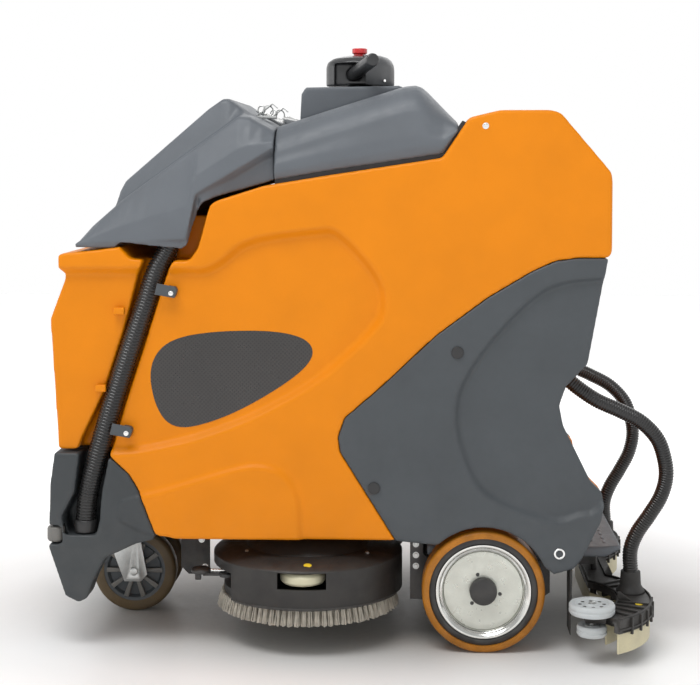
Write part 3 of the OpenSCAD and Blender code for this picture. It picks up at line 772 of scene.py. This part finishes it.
LID_TOP = [(-664, 950), (-632, 990), (-592, 1034), (-584, 1068), (-572, 1090), (-345, 1285),
           (-322, 1286), (-263, 1246), (-205, 1217)]
LID_SHOULDER = [(-664, 949), (-632, 984), (-563, 1044), (-287, 1240), (-262, 1238), (-205, 1206)]
LID_BOTTOM = [(-664, 938), (-575, 936), (-559, 950), (-534, 947), (-418, 935), (-406, 943),
              (-384, 1012), (-372, 1042), (-338, 1055), (-205, 1093)]
LID_FACET = [(-664, 946), (-406, 958), (-384, 1062), (-205, 1168)]
LID_X = [-664, -652, -632, -606, -592, -584, -572, -559, -534, -500, -460, -430, -418, -406, -396,
         -384, -372, -338, -322, -300, -287, -262, -235, -205]


def make_lid():
    sections = []
    for x in LID_X:
        top, sh = along(x, LID_TOP), along(x, LID_SHOULDER)
        bot = along(x, LID_BOTTOM)
        facet = max(bot + 0.5, min(along(x, LID_FACET), sh - 2))
        foot = min(top - 0.5, sh + 10)
        inset = 24.0 * min(1.0, max(0.0, (facet - bot - 8) / 40))
        half = [(0, top), (225, top), (240, top - 5), (262, foot), (330, sh + 1), (342, sh - 5),
                (371, sh + (facet - sh) * 0.62), (375, facet + 1), (375 - inset, facet - inset * 0.7),
                (374 - inset, bot)]
        sections.append(both_halves(x, half))
    lid = hollow_shell("tank_lid_skin", sections, 0.0036, 5)
    finish_piece(lid, "hood", "lid", ("tank_lid",))


HOOD_TOP = [(-203, 1219), (-186, 1224), (-100, 1252), (80, 1308), (98, 1313), (122, 1315),
            (136, 1310), (150, 1298), (220, 1226)]
HOOD_BOTTOM = [(-203, 1092), (-84, 1113), (60, 1134), (184, 1153), (220, 1208)]
HOOD_X = [-203, -196, -160, -120, -84, -30, 20, 60, 80, 98, 110, 122, 136, 150, 166, 184, 200,
          214, 220]


def make_hood():
    sections = []
    for x in HOOD_X:
        top, bot = along(x, HOOD_TOP), along(x, HOOD_BOTTOM)
        tall = top - bot
        near = min(1.0, tall / 90)
        half = [(0, top), (255, top)]
        for k in range(1, 9):
            a = math.pi / 2 * k / 8
            half.append((255 + 112 * math.sin(a), top - min(78, 0.62 * tall) * (1 - math.cos(a))))
        half += [(375, bot + 0.30 * tall), (376, bot + 0.16 * tall), (376 - 9 * near, bot + 0.4),
                 (370 - 9 * near, bot)]
        sections.append(both_halves(x, half))
    hood = hollow_shell("console_cover_skin", sections, 0.0045, 6)
    finish_piece(hood, "hood", "root", ("console_cover",))


def hollow_shell(name, sections, voxel, smooth):
    """A moulded hood with an even wall, open below, from its outer surface."""
    rows, n = len(sections), len(sections[0])
    verts = [p for s in sections for p in s]
    lid = new_object(name, verts, skin(rows, n, closed=False) + ends(rows, n))
    with editing(lid.data) as bm:
        up = sum((f.normal for f in bm.faces if f.calc_center_median().z > 1.15), Vector())
        if up.z < 0:
            bmesh.ops.reverse_faces(bm, faces=bm.faces)
    modifier(lid, "SOLIDIFY", thickness=0.010, offset=-1.0)
    moulded(lid, voxel, smooth)
    lid.data.shade_smooth()
    return lid


# ---------------------------------------------------------------- wheels and rollers

def both_ways(profile, shared=0):
    """A profile followed by its mirror image, less the points that the two share."""
    return profile + [(r, -h) for r, h in profile[::-1][shared:]]


def front_wheels():
    for side, s in SIDES:
        c = (FRONT_X, s * 0.0575, FRONT_Z)
        tyre = both_ways([(0.078, -0.0215), (0.094, -0.0222), (0.100, -0.0200),
                          (0.1040, -0.0150), (0.1048, -0.008), (0.105, 0.0)], 1)
        t = lathe(f"front_tyre_{side}", tyre, c)
        finish_piece(t, "tyre_brown", f"front_{side}", (f"front_wheel_{side}",))
        hub = both_ways([(0.0104, -0.0215), (0.020, -0.0215), (0.024, -0.019), (0.025, -0.0115),
                         (0.064, -0.0105), (0.070, -0.0185), (0.0785, -0.020)])
        hub = lathe(f"front_hub_{side}", hub, c)
        finish_piece(hub, "grey", f"front_{side}")
        ribs = []
        for k in range(10):
            turn = Matrix.Translation(c) @ Matrix.Rotation(math.tau * k / 10, 4, "Y")
            for face in (-1, 1):
                v, f = box_faces((0.024, face * 0.0158 - 0.0050, -0.0048),
                                 (0.071, face * 0.0158 + 0.0050, 0.0048))
                v = [turn @ Vector((x, y, z * (0.7 + 9.0 * x))) for x, y, z in v]
                ribs.append(new_object("rib", v, f))
        ribs = joined(f"front_hub_ribs_{side}", ribs)
        round_edges(ribs, 0.0016)
        finish_piece(ribs, "wheel_grey", f"front_{side}")


def drive_wheels():
    for side, s in SIDES:
        body = f"drive_{side}"
        c = (WHEEL_X, s * WHEEL_OUT, WHEEL_Z)
        R = WHEEL_Z
        tyre = [(R - 0.017, 0.0), (R - 0.010, 0.0003), (R - 0.005, 0.0016), (R - 0.0016, 0.0050),
                (R - 0.0002, 0.011), (R, 0.020), (R, 0.060), (R - 0.0002, 0.069),
                (R - 0.0016, 0.0750), (R - 0.005, 0.0784), (R - 0.010, 0.0797), (R - 0.017, 0.080)]
        t = lathe(f"drive_tyre_{side}_tread", [(r, -h) for r, h in tyre], c, flip=s, around=128)
        finish_piece(t, "tyre_orange", body, (f"drive_tyre_{side}",))
        bevelled(f"drive_rim_{side}_drum", f"drive_rim_{side}", 0.002, 2, "black", body)
        profile = [(0.0285, -0.030), (0.0285, -0.0195), (0.040, -0.0190), (0.058, -0.0188),
                   (0.078, -0.0184), (0.0895, -0.0172), (0.0915, -0.0180), (0.0920, -0.030)]
        disc = lathe(f"wheel_disc_{side}_plate", profile, c, flip=s, around=128)
        finish_piece(disc, "disc", body, (f"wheel_disc_{side}",))
        profile = [(0.0915, -0.030), (0.0917, -0.0190), (0.0935, -0.0150), (0.0955, -0.0110),
                   (0.0965, -0.0104), (0.0980, -0.0112), (0.0995, -0.0118), (0.1010, -0.0108),
                   (0.1035, -0.0072), (0.1070, -0.0058), (0.1095, -0.0062), (0.1110, -0.0085),
                   (0.1110, -0.030)]
        rim = lathe(f"wheel_disc_{side}_rim", profile, c, flip=s, around=128)
        finish_piece(rim, "disc_rim", body)
        # Painted shade: three black discs on the plate stand for its holes, the dark inside them painted on.
        holes = []
        for k in range(3):
            a = math.radians(109 + 120 * k)
            r, size = 0.0395, 0.0044
            holes.append(lathe("hole", [(0.0, 0.0006), (size, 0.0006), (size, -0.002),
                                        (0.0, -0.002)],
                               (c[0] + r * math.cos(a), c[1] - s * 0.0193, c[2] + r * math.sin(a)),
                               flip=s, around=20))
        finish_piece(joined(f"wheel_disc_{side}_holes", holes), "black", body)
        cap = lathe(f"hub_cap_{side}_dome", [(0.0, -0.0010), (0.012, -0.0011), (0.022, -0.0014),
                                             (0.0240, -0.0020), (0.0250, -0.0034),
                                             (0.0262, -0.0034), (0.0276, -0.0018),
                                             (0.0300, -0.0022), (0.0315, -0.0050),
                                             (0.0318, -0.0186), (0.0280, -0.0200), (0.0, -0.0200)],
                    c, flip=s, around=64)
        finish_piece(cap, "black", body)


def rollers():
    for side, s in SIDES:
        c = (ROLLER_X, s * ROLLER_Y, 0.0)
        for part, zmid, half, r in (("upper", 0.128, 0.012, 0.052), ("lower", 0.078, 0.012, 0.034)):
            p = [(0.0, half - 0.002), (0.010, half - 0.002), (0.012, half), (0.016, half),
                 (0.018, half - 0.003), (r - 0.016, half - 0.004), (r - 0.013, half),
                 (r - 0.003, half), (r, half - 0.004), (r, 0.0028), (r - 0.0012, 0.0018),
                 (r - 0.0012, -0.0018), (r, -0.0028), (r, 0.004 - half), (r - 0.003, -half),
                 (r - 0.013, -half), (r - 0.016, 0.004 - half), (0.018, 0.003 - half),
                 (0.012, -half), (0.0, -half)]
            w = lathe(f"bumper_roller_{side}_{part}", p, (c[0], c[1], zmid), axis="Z", around=72)
            finish_piece(w, "roller", f"roller_{side}",
                         (f"bumper_rollers_{side}",) if part == "upper" else ())
        pin = lathe(f"bumper_spindle_{side}", [(0.0, 0.030), (0.0059, 0.030), (0.0059, -0.026),
                                              (0.0, -0.026)], (c[0], c[1], 0.100), axis="Z",
                    around=32)
        finish_piece(pin, "zinc", f"roller_{side}", ())
        bolts(f"roller_bolts_{side}", [((c[0], c[1], 0.1398), (0, 0, 1))], "zinc",
              f"roller_{side}", 0.006, 0.0035, 6)


# ---------------------------------------------------------------- brushes

def brushes():
    rng = random.Random(7)
    strand_faces = skin(2, 4) + [(4, 5, 6, 7)]
    for side, s in SIDES:
        lo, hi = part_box(f"bristles_{side}")
        z0, z1 = lo[2], hi[2]
        cx, cy = BRUSH_X, s * BRUSH_Y
        verts, faces = [], []
        for ring, R in enumerate((0.204, 0.193, 0.181, 0.165, 0.146, 0.122, 0.096)):
            count = int(math.tau * R / (0.0150 if ring < 3 else 0.018))
            for k in range(count):
                a = math.tau * (k + 0.5 * (ring % 2)) / count + rng.uniform(-0.006, 0.006)
                lean = (0.0085 if ring == 0 else 0.006) * (R / 0.2) + rng.uniform(-0.0015, 0.0015)
                for strand in range(9):
                    b = math.tau * strand / 8 + rng.uniform(-0.3, 0.3)
                    off = 0.0034 if strand < 8 else 0.0
                    ox, oy = off * math.cos(b), off * math.sin(b)
                    spread = 0.0016 + rng.uniform(0, 0.0006)
                    top = (cx + R * math.cos(a) + ox, cy + R * math.sin(a) + oy, z1)
                    ex = R + lean
                    end = (cx + ex * math.cos(a) + ox * 1.4 + rng.uniform(-0.0009, 0.0009),
                           cy + ex * math.sin(a) + oy * 1.4 + rng.uniform(-0.0009, 0.0009),
                           z0 + rng.uniform(0.0, 0.0025))
                    base = len(verts)
                    for (px, py, pz), w in ((top, 0.0015), (end, spread)):
                        for q in range(4):
                            g = math.tau * q / 4 + b
                            verts.append((px + w * math.cos(g), py + w * math.sin(g), pz))
                    faces += [tuple(base + v for v in face) for face in strand_faces]
        tufts = new_object(f"bristles_{side}_tufts", verts, faces)
        finish_piece(tufts, "bristle", f"scrub_{side}", (f"bristles_{side}",))
        bevelled(f"brush_{side}_plate", f"brush_{side}", 0.003, 2, "black", f"scrub_{side}")


# ---------------------------------------------------------------- decal, clips, painted shade strip under the hood, screws

DECAL = [(-494, 632), (-488, 676), (-462, 712), (-418, 732), (-355, 742), (-290, 746), (-225, 746),
         (-170, 740), (-130, 726), (-113, 703), (-120, 676), (-152, 643), (-215, 600), (-290, 558),
         (-360, 530), (-420, 517), (-458, 532), (-482, 574)]


def plate_xz(name, outline, y0, y1):
    """A flat plate in the side view between two places along Y."""
    n = len(outline)
    verts = [(x, y0, z) for x, z in outline] + [(x, y1, z) for x, z in outline]
    faces = [tuple(range(n)), tuple(range(2 * n - 1, n - 1, -1))]
    faces += [(k, (k + 1) % n, n + (k + 1) % n, n + k) for k in range(n)]
    return new_object(name, verts, faces, smooth=False)


def make_trim():
    depth = HALF_W - POCKET_DEPTH
    films = joined("decal_films", [
        plate_xz("film", rounded(np.array(DECAL) * MM, 2), s * (depth + 0.0008), s * (depth - 0.002))
        for s in (-1, 1)])
    finish_piece(films, "decal", "root", ("decals",))

    # Painted shade: a black rubber strip fills the gap between the tank and the hood, standing for the shade
    # in that gap.
    gap = np.array([(-202, 1070), (-86, 1086), (186, 1130), (244, 1222), (228, 1230), (184, 1166),
                    (-84, 1126), (-202, 1104)]) * MM
    gap_shade_strip = joined("hood_gap_shade_strip", [plate_xz("strip", gap, *sorted((s * 0.330, s * 0.366)))
                                    for s in (-1, 1)])
    round_edges(gap_shade_strip, 0.0015)
    finish_piece(gap_shade_strip, "rubber", "root")

    clips = []
    for x, z in ((-0.466, 0.837), (-0.572, 0.512)):
        arm = np.array([(x - 0.012, z - 0.006), (x + 0.034, z - 0.014), (x + 0.040, z + 0.004),
                        (x + 0.036, z + 0.012), (x - 0.006, z + 0.020)])
        clips.append(plate_xz("arm", arm, -0.3865, -0.3832))
        foot = np.array([(x + 0.016, z - 0.010), (x + 0.034, z - 0.013), (x + 0.040, z + 0.004),
                         (x + 0.036, z + 0.011), (x + 0.020, z + 0.014)])
        clips.append(plate_xz("foot", foot, -0.3835, -0.364))
    clips = joined("clip_plates", clips)
    round_edges(clips, 0.0010)
    finish_piece(clips, "grey", "root", ("hose_clips",))
    heads = bolts("clip_screw_heads", [((-0.440, -0.3864, 0.834), (0, -1, 0)),
                                       ((-0.546, -0.3864, 0.509), (0, -1, 0))], "bright", "root",
                  0.0042, 0.0028, 24)
    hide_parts("clip_screws")


# ---------------------------------------------------------------- deck, squeegee and clasps

def deck_details():
    domes, points, dots, levers, rods = [], [], [], [], []
    for s in (-1, 1):
        top = [(0.0, 0.246), (0.085, 0.246), (0.105, 0.243), (0.128, 0.234), (0.146, 0.2215),
               (0.150, 0.2190), (0.0, 0.2190)]
        domes.append(lathe("dome", top, (BRUSH_X, s * BRUSH_Y, 0.0), axis="Z", around=96))
        rim = [(0.2265, 0.1215), (0.2288, 0.1200), (0.2288, 0.1165), (0.2262, 0.1150)]
        turn = sorted((s * math.radians(20), s * math.radians(134)))
        domes.append(arc_solid(BRUSH_X, s * BRUSH_Y, rim, *turn))
        for dx in (-0.138, 0.145):
            points.append(((BRUSH_X + dx, s * (BRUSH_Y + 0.101), 0.2185), (0, s * 0.15, 1)))
        dots.append(lathe("dot", [(0.0, 0.0012), (0.0085, 0.0012), (0.0098, 0.0004),
                                  (0.0098, -0.001), (0.0, -0.001)], (0, 0, 0), axis="Z",
                          around=36))
        dots[-1].data.transform(turned((BRUSH_X + 0.012, s * (BRUSH_Y + 0.199), 0.2125),
                                       -s * 19, "X"))
        x, y, z = -0.345, s * 0.330, 0.176
        rods.append(lathe("rod", [(0.0, 0.030), (0.0030, 0.030), (0.0036, 0.0285),
                                  (0.0036, -0.030), (0.0, -0.030)], (0, 0, 0), axis="Z",
                          around=24))
        rods[-1].data.transform(turned((x, y, z), 90, "Y"))
        lever = [(0.0, 0.007), (0.020, 0.006), (0.024, 0.002), (0.024, -0.002), (0.020, -0.006),
                 (0.0, -0.007)]
        levers.append(lathe("pad", lever, (x - 0.036, y, z), axis="Z", around=40))
        levers.append(box("arm", (x - 0.050, y - 0.006, z - 0.022),
                          (x - 0.036, y + 0.006, z - 0.002)))
    finish_piece(joined("deck_domes", domes), "deck", "deck")
    bolts("deck_bolts", points, "zinc", "deck", 0.0045, 0.004, 6)
    finish_piece(joined("deck_markers", dots), "dot", "deck")
    finish_piece(joined("deck_latch_rods", rods), "bright", "deck")
    levers = joined("deck_latch_pads", levers)
    round_edges(levers, 0.0012)
    finish_piece(levers, "black", "deck")


def arc_solid(cx, cy, section, a0, a1, around=72):
    """A section of (radius, z) in m, swept about a vertical axis from one angle to another."""
    n = len(section)
    verts = [(cx + r * math.cos(a), cy + r * math.sin(a), z)
             for a in np.linspace(a0, a1, around) for r, z in section]
    return new_object("arc", verts, skin(around, n) + ends(around, n))


def squeegee_strip(section):
    """A section of (distance from the rear edge, z) in m, swept along both curves."""
    line = []
    for s in (1, -1):
        turns = np.radians(np.linspace(55, -50, 40))
        half = [(SQUEEGEE_X + SQUEEGEE_R * math.cos(a), s * (SQUEEGEE_Y + SQUEEGEE_R * math.sin(a)),
                 math.cos(a), s * math.sin(a)) for a in turns]
        line += half if s > 0 else half[::-1]
    n = len(section)
    verts = [(x + d * u, y + d * v, z) for x, y, u, v in line for d, z in section]
    return new_object("strip", verts, skin(len(line), n) + ends(len(line), n))


def squeegee_details():
    rails = [squeegee_strip([(d - 0.0035, 0.113), (d - 0.003, 0.1185), (d - 0.001, 0.1195),
                             (d, 0.118), (d, 0.113)]) for d in (-0.0005, -0.0745)]
    rails.append(squeegee_strip([(-0.002, 0.094), (0.0035, 0.093), (0.0035, 0.089),
                                 (-0.002, 0.088)]))
    for s in (-1, 1):
        for a in range(-36, 54, 9):
            turn = turned((SQUEEGEE_X, s * SQUEEGEE_Y, 0), s * a, "Z")
            v, f = box_faces((SQUEEGEE_R - 0.001, -0.0025, 0.076),
                             (SQUEEGEE_R + 0.0052, 0.0025, 0.1135))
            rails.append(new_object("rib", [turn @ Vector(p) for p in v], f))
            if not -20 < a < 10:
                v, f = box_faces((SQUEEGEE_R - 0.074, -0.0022, 0.113),
                                 (SQUEEGEE_R - 0.003, 0.0022, 0.1190))
                rails.append(new_object("web", [turn @ Vector(p) for p in v], f))
        gusset = [(0.604, 0.113), (0.604, 0.134), (0.610, 0.134), (0.634, 0.116), (0.634, 0.113)]
        for y in (0.318, 0.326):
            rails.append(plate_xz("gusset", np.array(gusset) + (-0.010, 0),
                                  *sorted((s * y, s * (y + 0.003)))))
    rails = joined("squeegee_ribs", rails)
    round_edges(rails, 0.0007, 2)
    finish_piece(rails, "deck", "squeegee")
    marks = [lathe("mark", [(0.0, 0.001), (0.0085, 0.001), (0.0095, 0.0003), (0.0095, -0.001),
                            (0.0, -0.001)], (0.640, s * 0.352, 0.1148), axis="Z", around=36)
             for s in (-1, 1)]
    finish_piece(joined("squeegee_markers", marks), "dot", "squeegee")
    for side, s in SIDES:
        # Painted shade: dark discs on the roller's top stand for its ring of holes, the dark inside them
        # painted on.
        spots = []
        for k in range(8):
            a = math.tau * k / 8
            spots.append(lathe("spot", [(0.0, 0.0008), (0.0040, 0.0008), (0.0046, 0.0),
                                        (0.0046, -0.002), (0.0, -0.002)],
                               (ROLLER_X + 0.027 * math.cos(a), s * ROLLER_Y + 0.027 * math.sin(a),
                                0.1362), axis="Z", around=20))
        finish_piece(joined(f"roller_{side}_holes", spots), "deck", f"roller_{side}", ())


def lid_clasps():
    """Two chrome toggle clasps with wire loops on the rear slope of the lid."""
    parts, loops = [], []
    for s in (-1, 1):
        y = s * 0.155
        parts += [box("plate", (-0.262, y - 0.013, 1.2405), (-0.216, y + 0.013, 1.2470)),
                  box("arm", (0.0, -0.010, -0.0012), (0.046, 0.010, 0.0012),
                      turned((-0.262, y, 1.248), -38, "Y")),
                  box("hook", (0.0, -0.007, -0.0012), (0.016, 0.007, 0.0012),
                      turned((-0.226, y, 1.276), 40, "Y"))]
        for x, z, r, lean in ((-0.236, 1.258, 0.0130, 28), (-0.252, 1.262, 0.0090, -12)):
            verts = []
            for k in range(32):
                a = math.tau * k / 32
                for q in range(8):
                    b = math.tau * q / 8
                    rr = r + 0.0016 * math.cos(b)
                    verts.append((rr * math.cos(a), 0.0016 * math.sin(b), rr * math.sin(a)))
            faces = [(k * 8 + q, k * 8 + (q + 1) % 8, ((k + 1) % 32) * 8 + (q + 1) % 8,
                      ((k + 1) % 32) * 8 + q) for k in range(32) for q in range(8)]
            loop = new_object("loop", verts, faces)
            loop.data.transform(turned((x, y + s * 0.004, z), lean, "Z"))
            loops.append(loop)
    parts = joined("lid_clasps", parts)
    round_edges(parts, 0.0005, 2)
    finish_piece(parts, "zinc", "lid", ())
    finish_piece(joined("lid_clasp_loops", loops), "zinc", "lid", ())


def platform_grip():
    """Raised grip bars on the standing plate."""
    bars = []
    for i in range(5):
        for j in range(-6, 7):
            x = 0.452 + 0.030 * i
            y = 0.040 * j + (0.020 if i % 2 else 0.0)
            if abs(y) < 0.262:
                bars.append(box("bar", (x - 0.0035, y - 0.013, 0.2285),
                                (x + 0.0035, y + 0.013, 0.2322)))
    bars = joined("platform_grip_bars", bars)
    round_edges(bars, 0.0014, 2)
    finish_piece(bars, "hood", "root")


def frame_bolts():
    """Bolt heads on the chassis: the post behind the brushes and the front guard plates."""
    places = []
    for s in (-1, 1):
        for z in (0.180, 0.206, 0.232):
            places.append(((0.124, s * 0.2862, z), (0, s, 0)))
        for x, z in ((-0.424, 0.240), (-0.392, 0.226), (-0.384, 0.160)):
            places.append(((x, s * 0.2408, z), (0, s, 0)))
    bolts("chassis_bolts", places, "zinc", "root", 0.0055, 0.005, 6)


# ---------------------------------------------------------------- small parts from the frame

# Name, node, width and segments of the edge, material and body
SMALL = [
    ("cover_cap_discs", "cover_caps", 0.0012, 3, "black", "root"),
    ("cover_eyelet_rings", "cover_eyelets", 0.0012, 3, "bright", "root"),
    ("display_window", "display_panel", 0.001, 2, "display", "root"),
    ("mud_flap_sheets", "mud_flaps", 0.001, 2, "rubber", "root"),
    ("drain_elbow", "drain_fittings", 0.004, 3, "black", "root"),
    ("lift_motor_frame", "lift_actuator", 0.002, 2, "zinc", "root"),
    ("drive_motor_cases", "drive_motors", 0.003, 2, "frame", "root"),
    ("hitch_frame", "squeegee_hitch", 0.002, 2, "frame", "root"),
    ("hinge_brackets", "lid_hinges", 0.001, 2, "bright", "root"),
    ("hinge_leaves", "lid_leaves", 0.001, 2, "bright", "lid"),
    ("chassis_beams", "chassis_frame", 0.0025, 2, "frame", "root"),
    ("battery_blocks", "battery_pack", 0.004, 2, "battery", "root"),
    ("vacuum_motor_case", "vacuum_motor", 0.003, 2, "deck", "root"),
    ("handlebar_grips", "handlebar", 0.004, 4, "head", "steering"),
    ("head_screw_heads", "head_screws", 0.0008, 2, "bright", "steering"),
    ("throttle_paddles", "throttle_lever", 0.0012, 2, "black", "throttle"),
    ("stop_button_cap", "stop_button", 0.003, 4, "red", "stop"),
    ("pedal_pad", "presence_pedal", 0.002, 3, "rubber", "pedal"),
    ("fork_plates", "front_fork", 0.0015, 2, "zinc", "fork"),
    ("fork_axle_bar", "fork_axle", 0.0015, 2, "zinc", "fork"),
    *[row for side in ("left", "right") for row in (
        (f"corner_roller_{side}_wheel", f"corner_roller_{side}", 0.0020, 3, "wheel_grey",
         f"corner_{side}"),
        (f"deck_roller_{side}_wheel", f"deck_roller_{side}", 0.002, 3, "cream",
         f"deck_roll_{side}"))],
    ("brush_deck_shell", "brush_deck", 0.004, 3, "deck", "deck"),
    ("brush_motor_cases", "brush_motors", 0.003, 3, "frame", "deck"),
    ("deck_latch_levers", "deck_latches", 0.0015, 2, "black", "deck"),
    ("squeegee_casting", "squeegee_body", 0.0015, 2, "deck", "squeegee"),
    ("squeegee_blade_front", "front_blade", 0.0006, 1, "blade", "squeegee"),
    ("squeegee_blade_rear", "rear_blade", 0.0006, 1, "blade", "squeegee"),
    ("hose_cuffs", "hose_adapters", 0.0015, 2, "rubber", "squeegee"),
]

make_lid()
make_hood()
front_wheels()
drive_wheels()
rollers()
brushes()
make_trim()
deck_details()
squeegee_details()
lid_clasps()
platform_grip()
frame_bolts()
for small in SMALL:
    bevelled(*small)


# ---------------------------------------------------------------- floor and light

def area_light(name, place, target, size, watts):
    data = bpy.data.lights.new(name, "AREA")
    data.shape = "RECTANGLE"
    data.size, data.size_y = size
    data.energy = watts
    ob = linked(name, data)
    ob.location = place
    ob.rotation_euler = (Vector(target) - Vector(place)).to_track_quat("-Z", "Y").to_euler()


def floor_material():
    """Pale studio floor with a painted shadow: greyer near the middle, under the machine, fading to white,
    and a painted glow that grows further out.
    """
    m = material("floor_pale", (0.93, 0.93, 0.93), 0.40, grain=300, grain_bump=0.01,
                 mottle=0.004)
    t, surface, base, place = parts_of(m)
    oval = shader(t, "Mapping", {0: place}, {"Scale": (1.0, 1.6, 1.0)}).outputs[0]
    far = shader(t, "VectorMath", {0: oval}, operation="LENGTH").outputs["Value"]
    soft = {"interpolation_type": "SMOOTHSTEP"}
    # Painted shadow: the floor colour turns dark grey near the middle, under the machine.
    colour = mix(t, remap(t, far, 0.30, 1.05, 0.0, 1.0, **soft), (0.36, 0.345, 0.32), base)
    t.links.new(colour, surface.inputs["Base Color"])
    # Painted glow: the floor emits more light further out, fading it into the white backdrop.
    surface.inputs["Emission Color"].default_value = (1.0, 1.0, 1.0, 1.0)
    t.links.new(remap(t, far, 0.85, 2.2, 0.0, 0.40, **soft), surface.inputs["Emission Strength"])
    return m


def studio():
    floor = new_object("floor", [(-9, -9, 0), (9, -9, 0), (9, 9, 0), (-9, 9, 0)], [(0, 1, 2, 3)])
    floor.data.materials.append(floor_material())
    area_light("key", (-1.0, -2.0, 4.2), (0, 0, 0.7), (2.6, 1.6), 105)
    area_light("front_fill", (0.6, -4.6, 1.6), (0, 0, 0.6), (4.0, 2.2), 5)
    area_light("back", (1.0, 3.6, 3.2), (0, 0, 0.8), (4.0, 2.0), 40)
    area_light("side_left", (-4.4, 0.4, 1.8), (0, 0, 0.7), (2.5, 2.5), 18)
    area_light("side_right", (4.4, 0.2, 1.8), (0, 0, 0.7), (2.5, 2.5), 14)
    world = bpy.data.worlds.new("world")
    bpy.context.scene.world = world
    world.use_nodes = True
    t = world.node_tree
    height = shader(t, "SeparateXYZ", {0: shader(t, "TexCoord").outputs["Generated"]}).outputs[2]
    background = t.nodes["Background"]
    background.inputs[0].default_value = (1.0, 1.0, 1.0, 1.0)
    t.links.new(remap(t, height, 0.24, 0.42, 1.0, 0.52), background.inputs[1])
    bpy.context.scene.view_settings.view_transform = "Standard"


studio()


def to_origin():
    """Moves everything drawn from the datum to where the frame has it."""
    for ob in bpy.context.scene.objects:
        placed = "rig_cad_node" in ob or "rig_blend" in ob or ob.type in ("EMPTY", "CAMERA")
        if not placed:
            ob.location.x += ORIGIN_X
    bpy.context.view_layer.update()


to_origin()
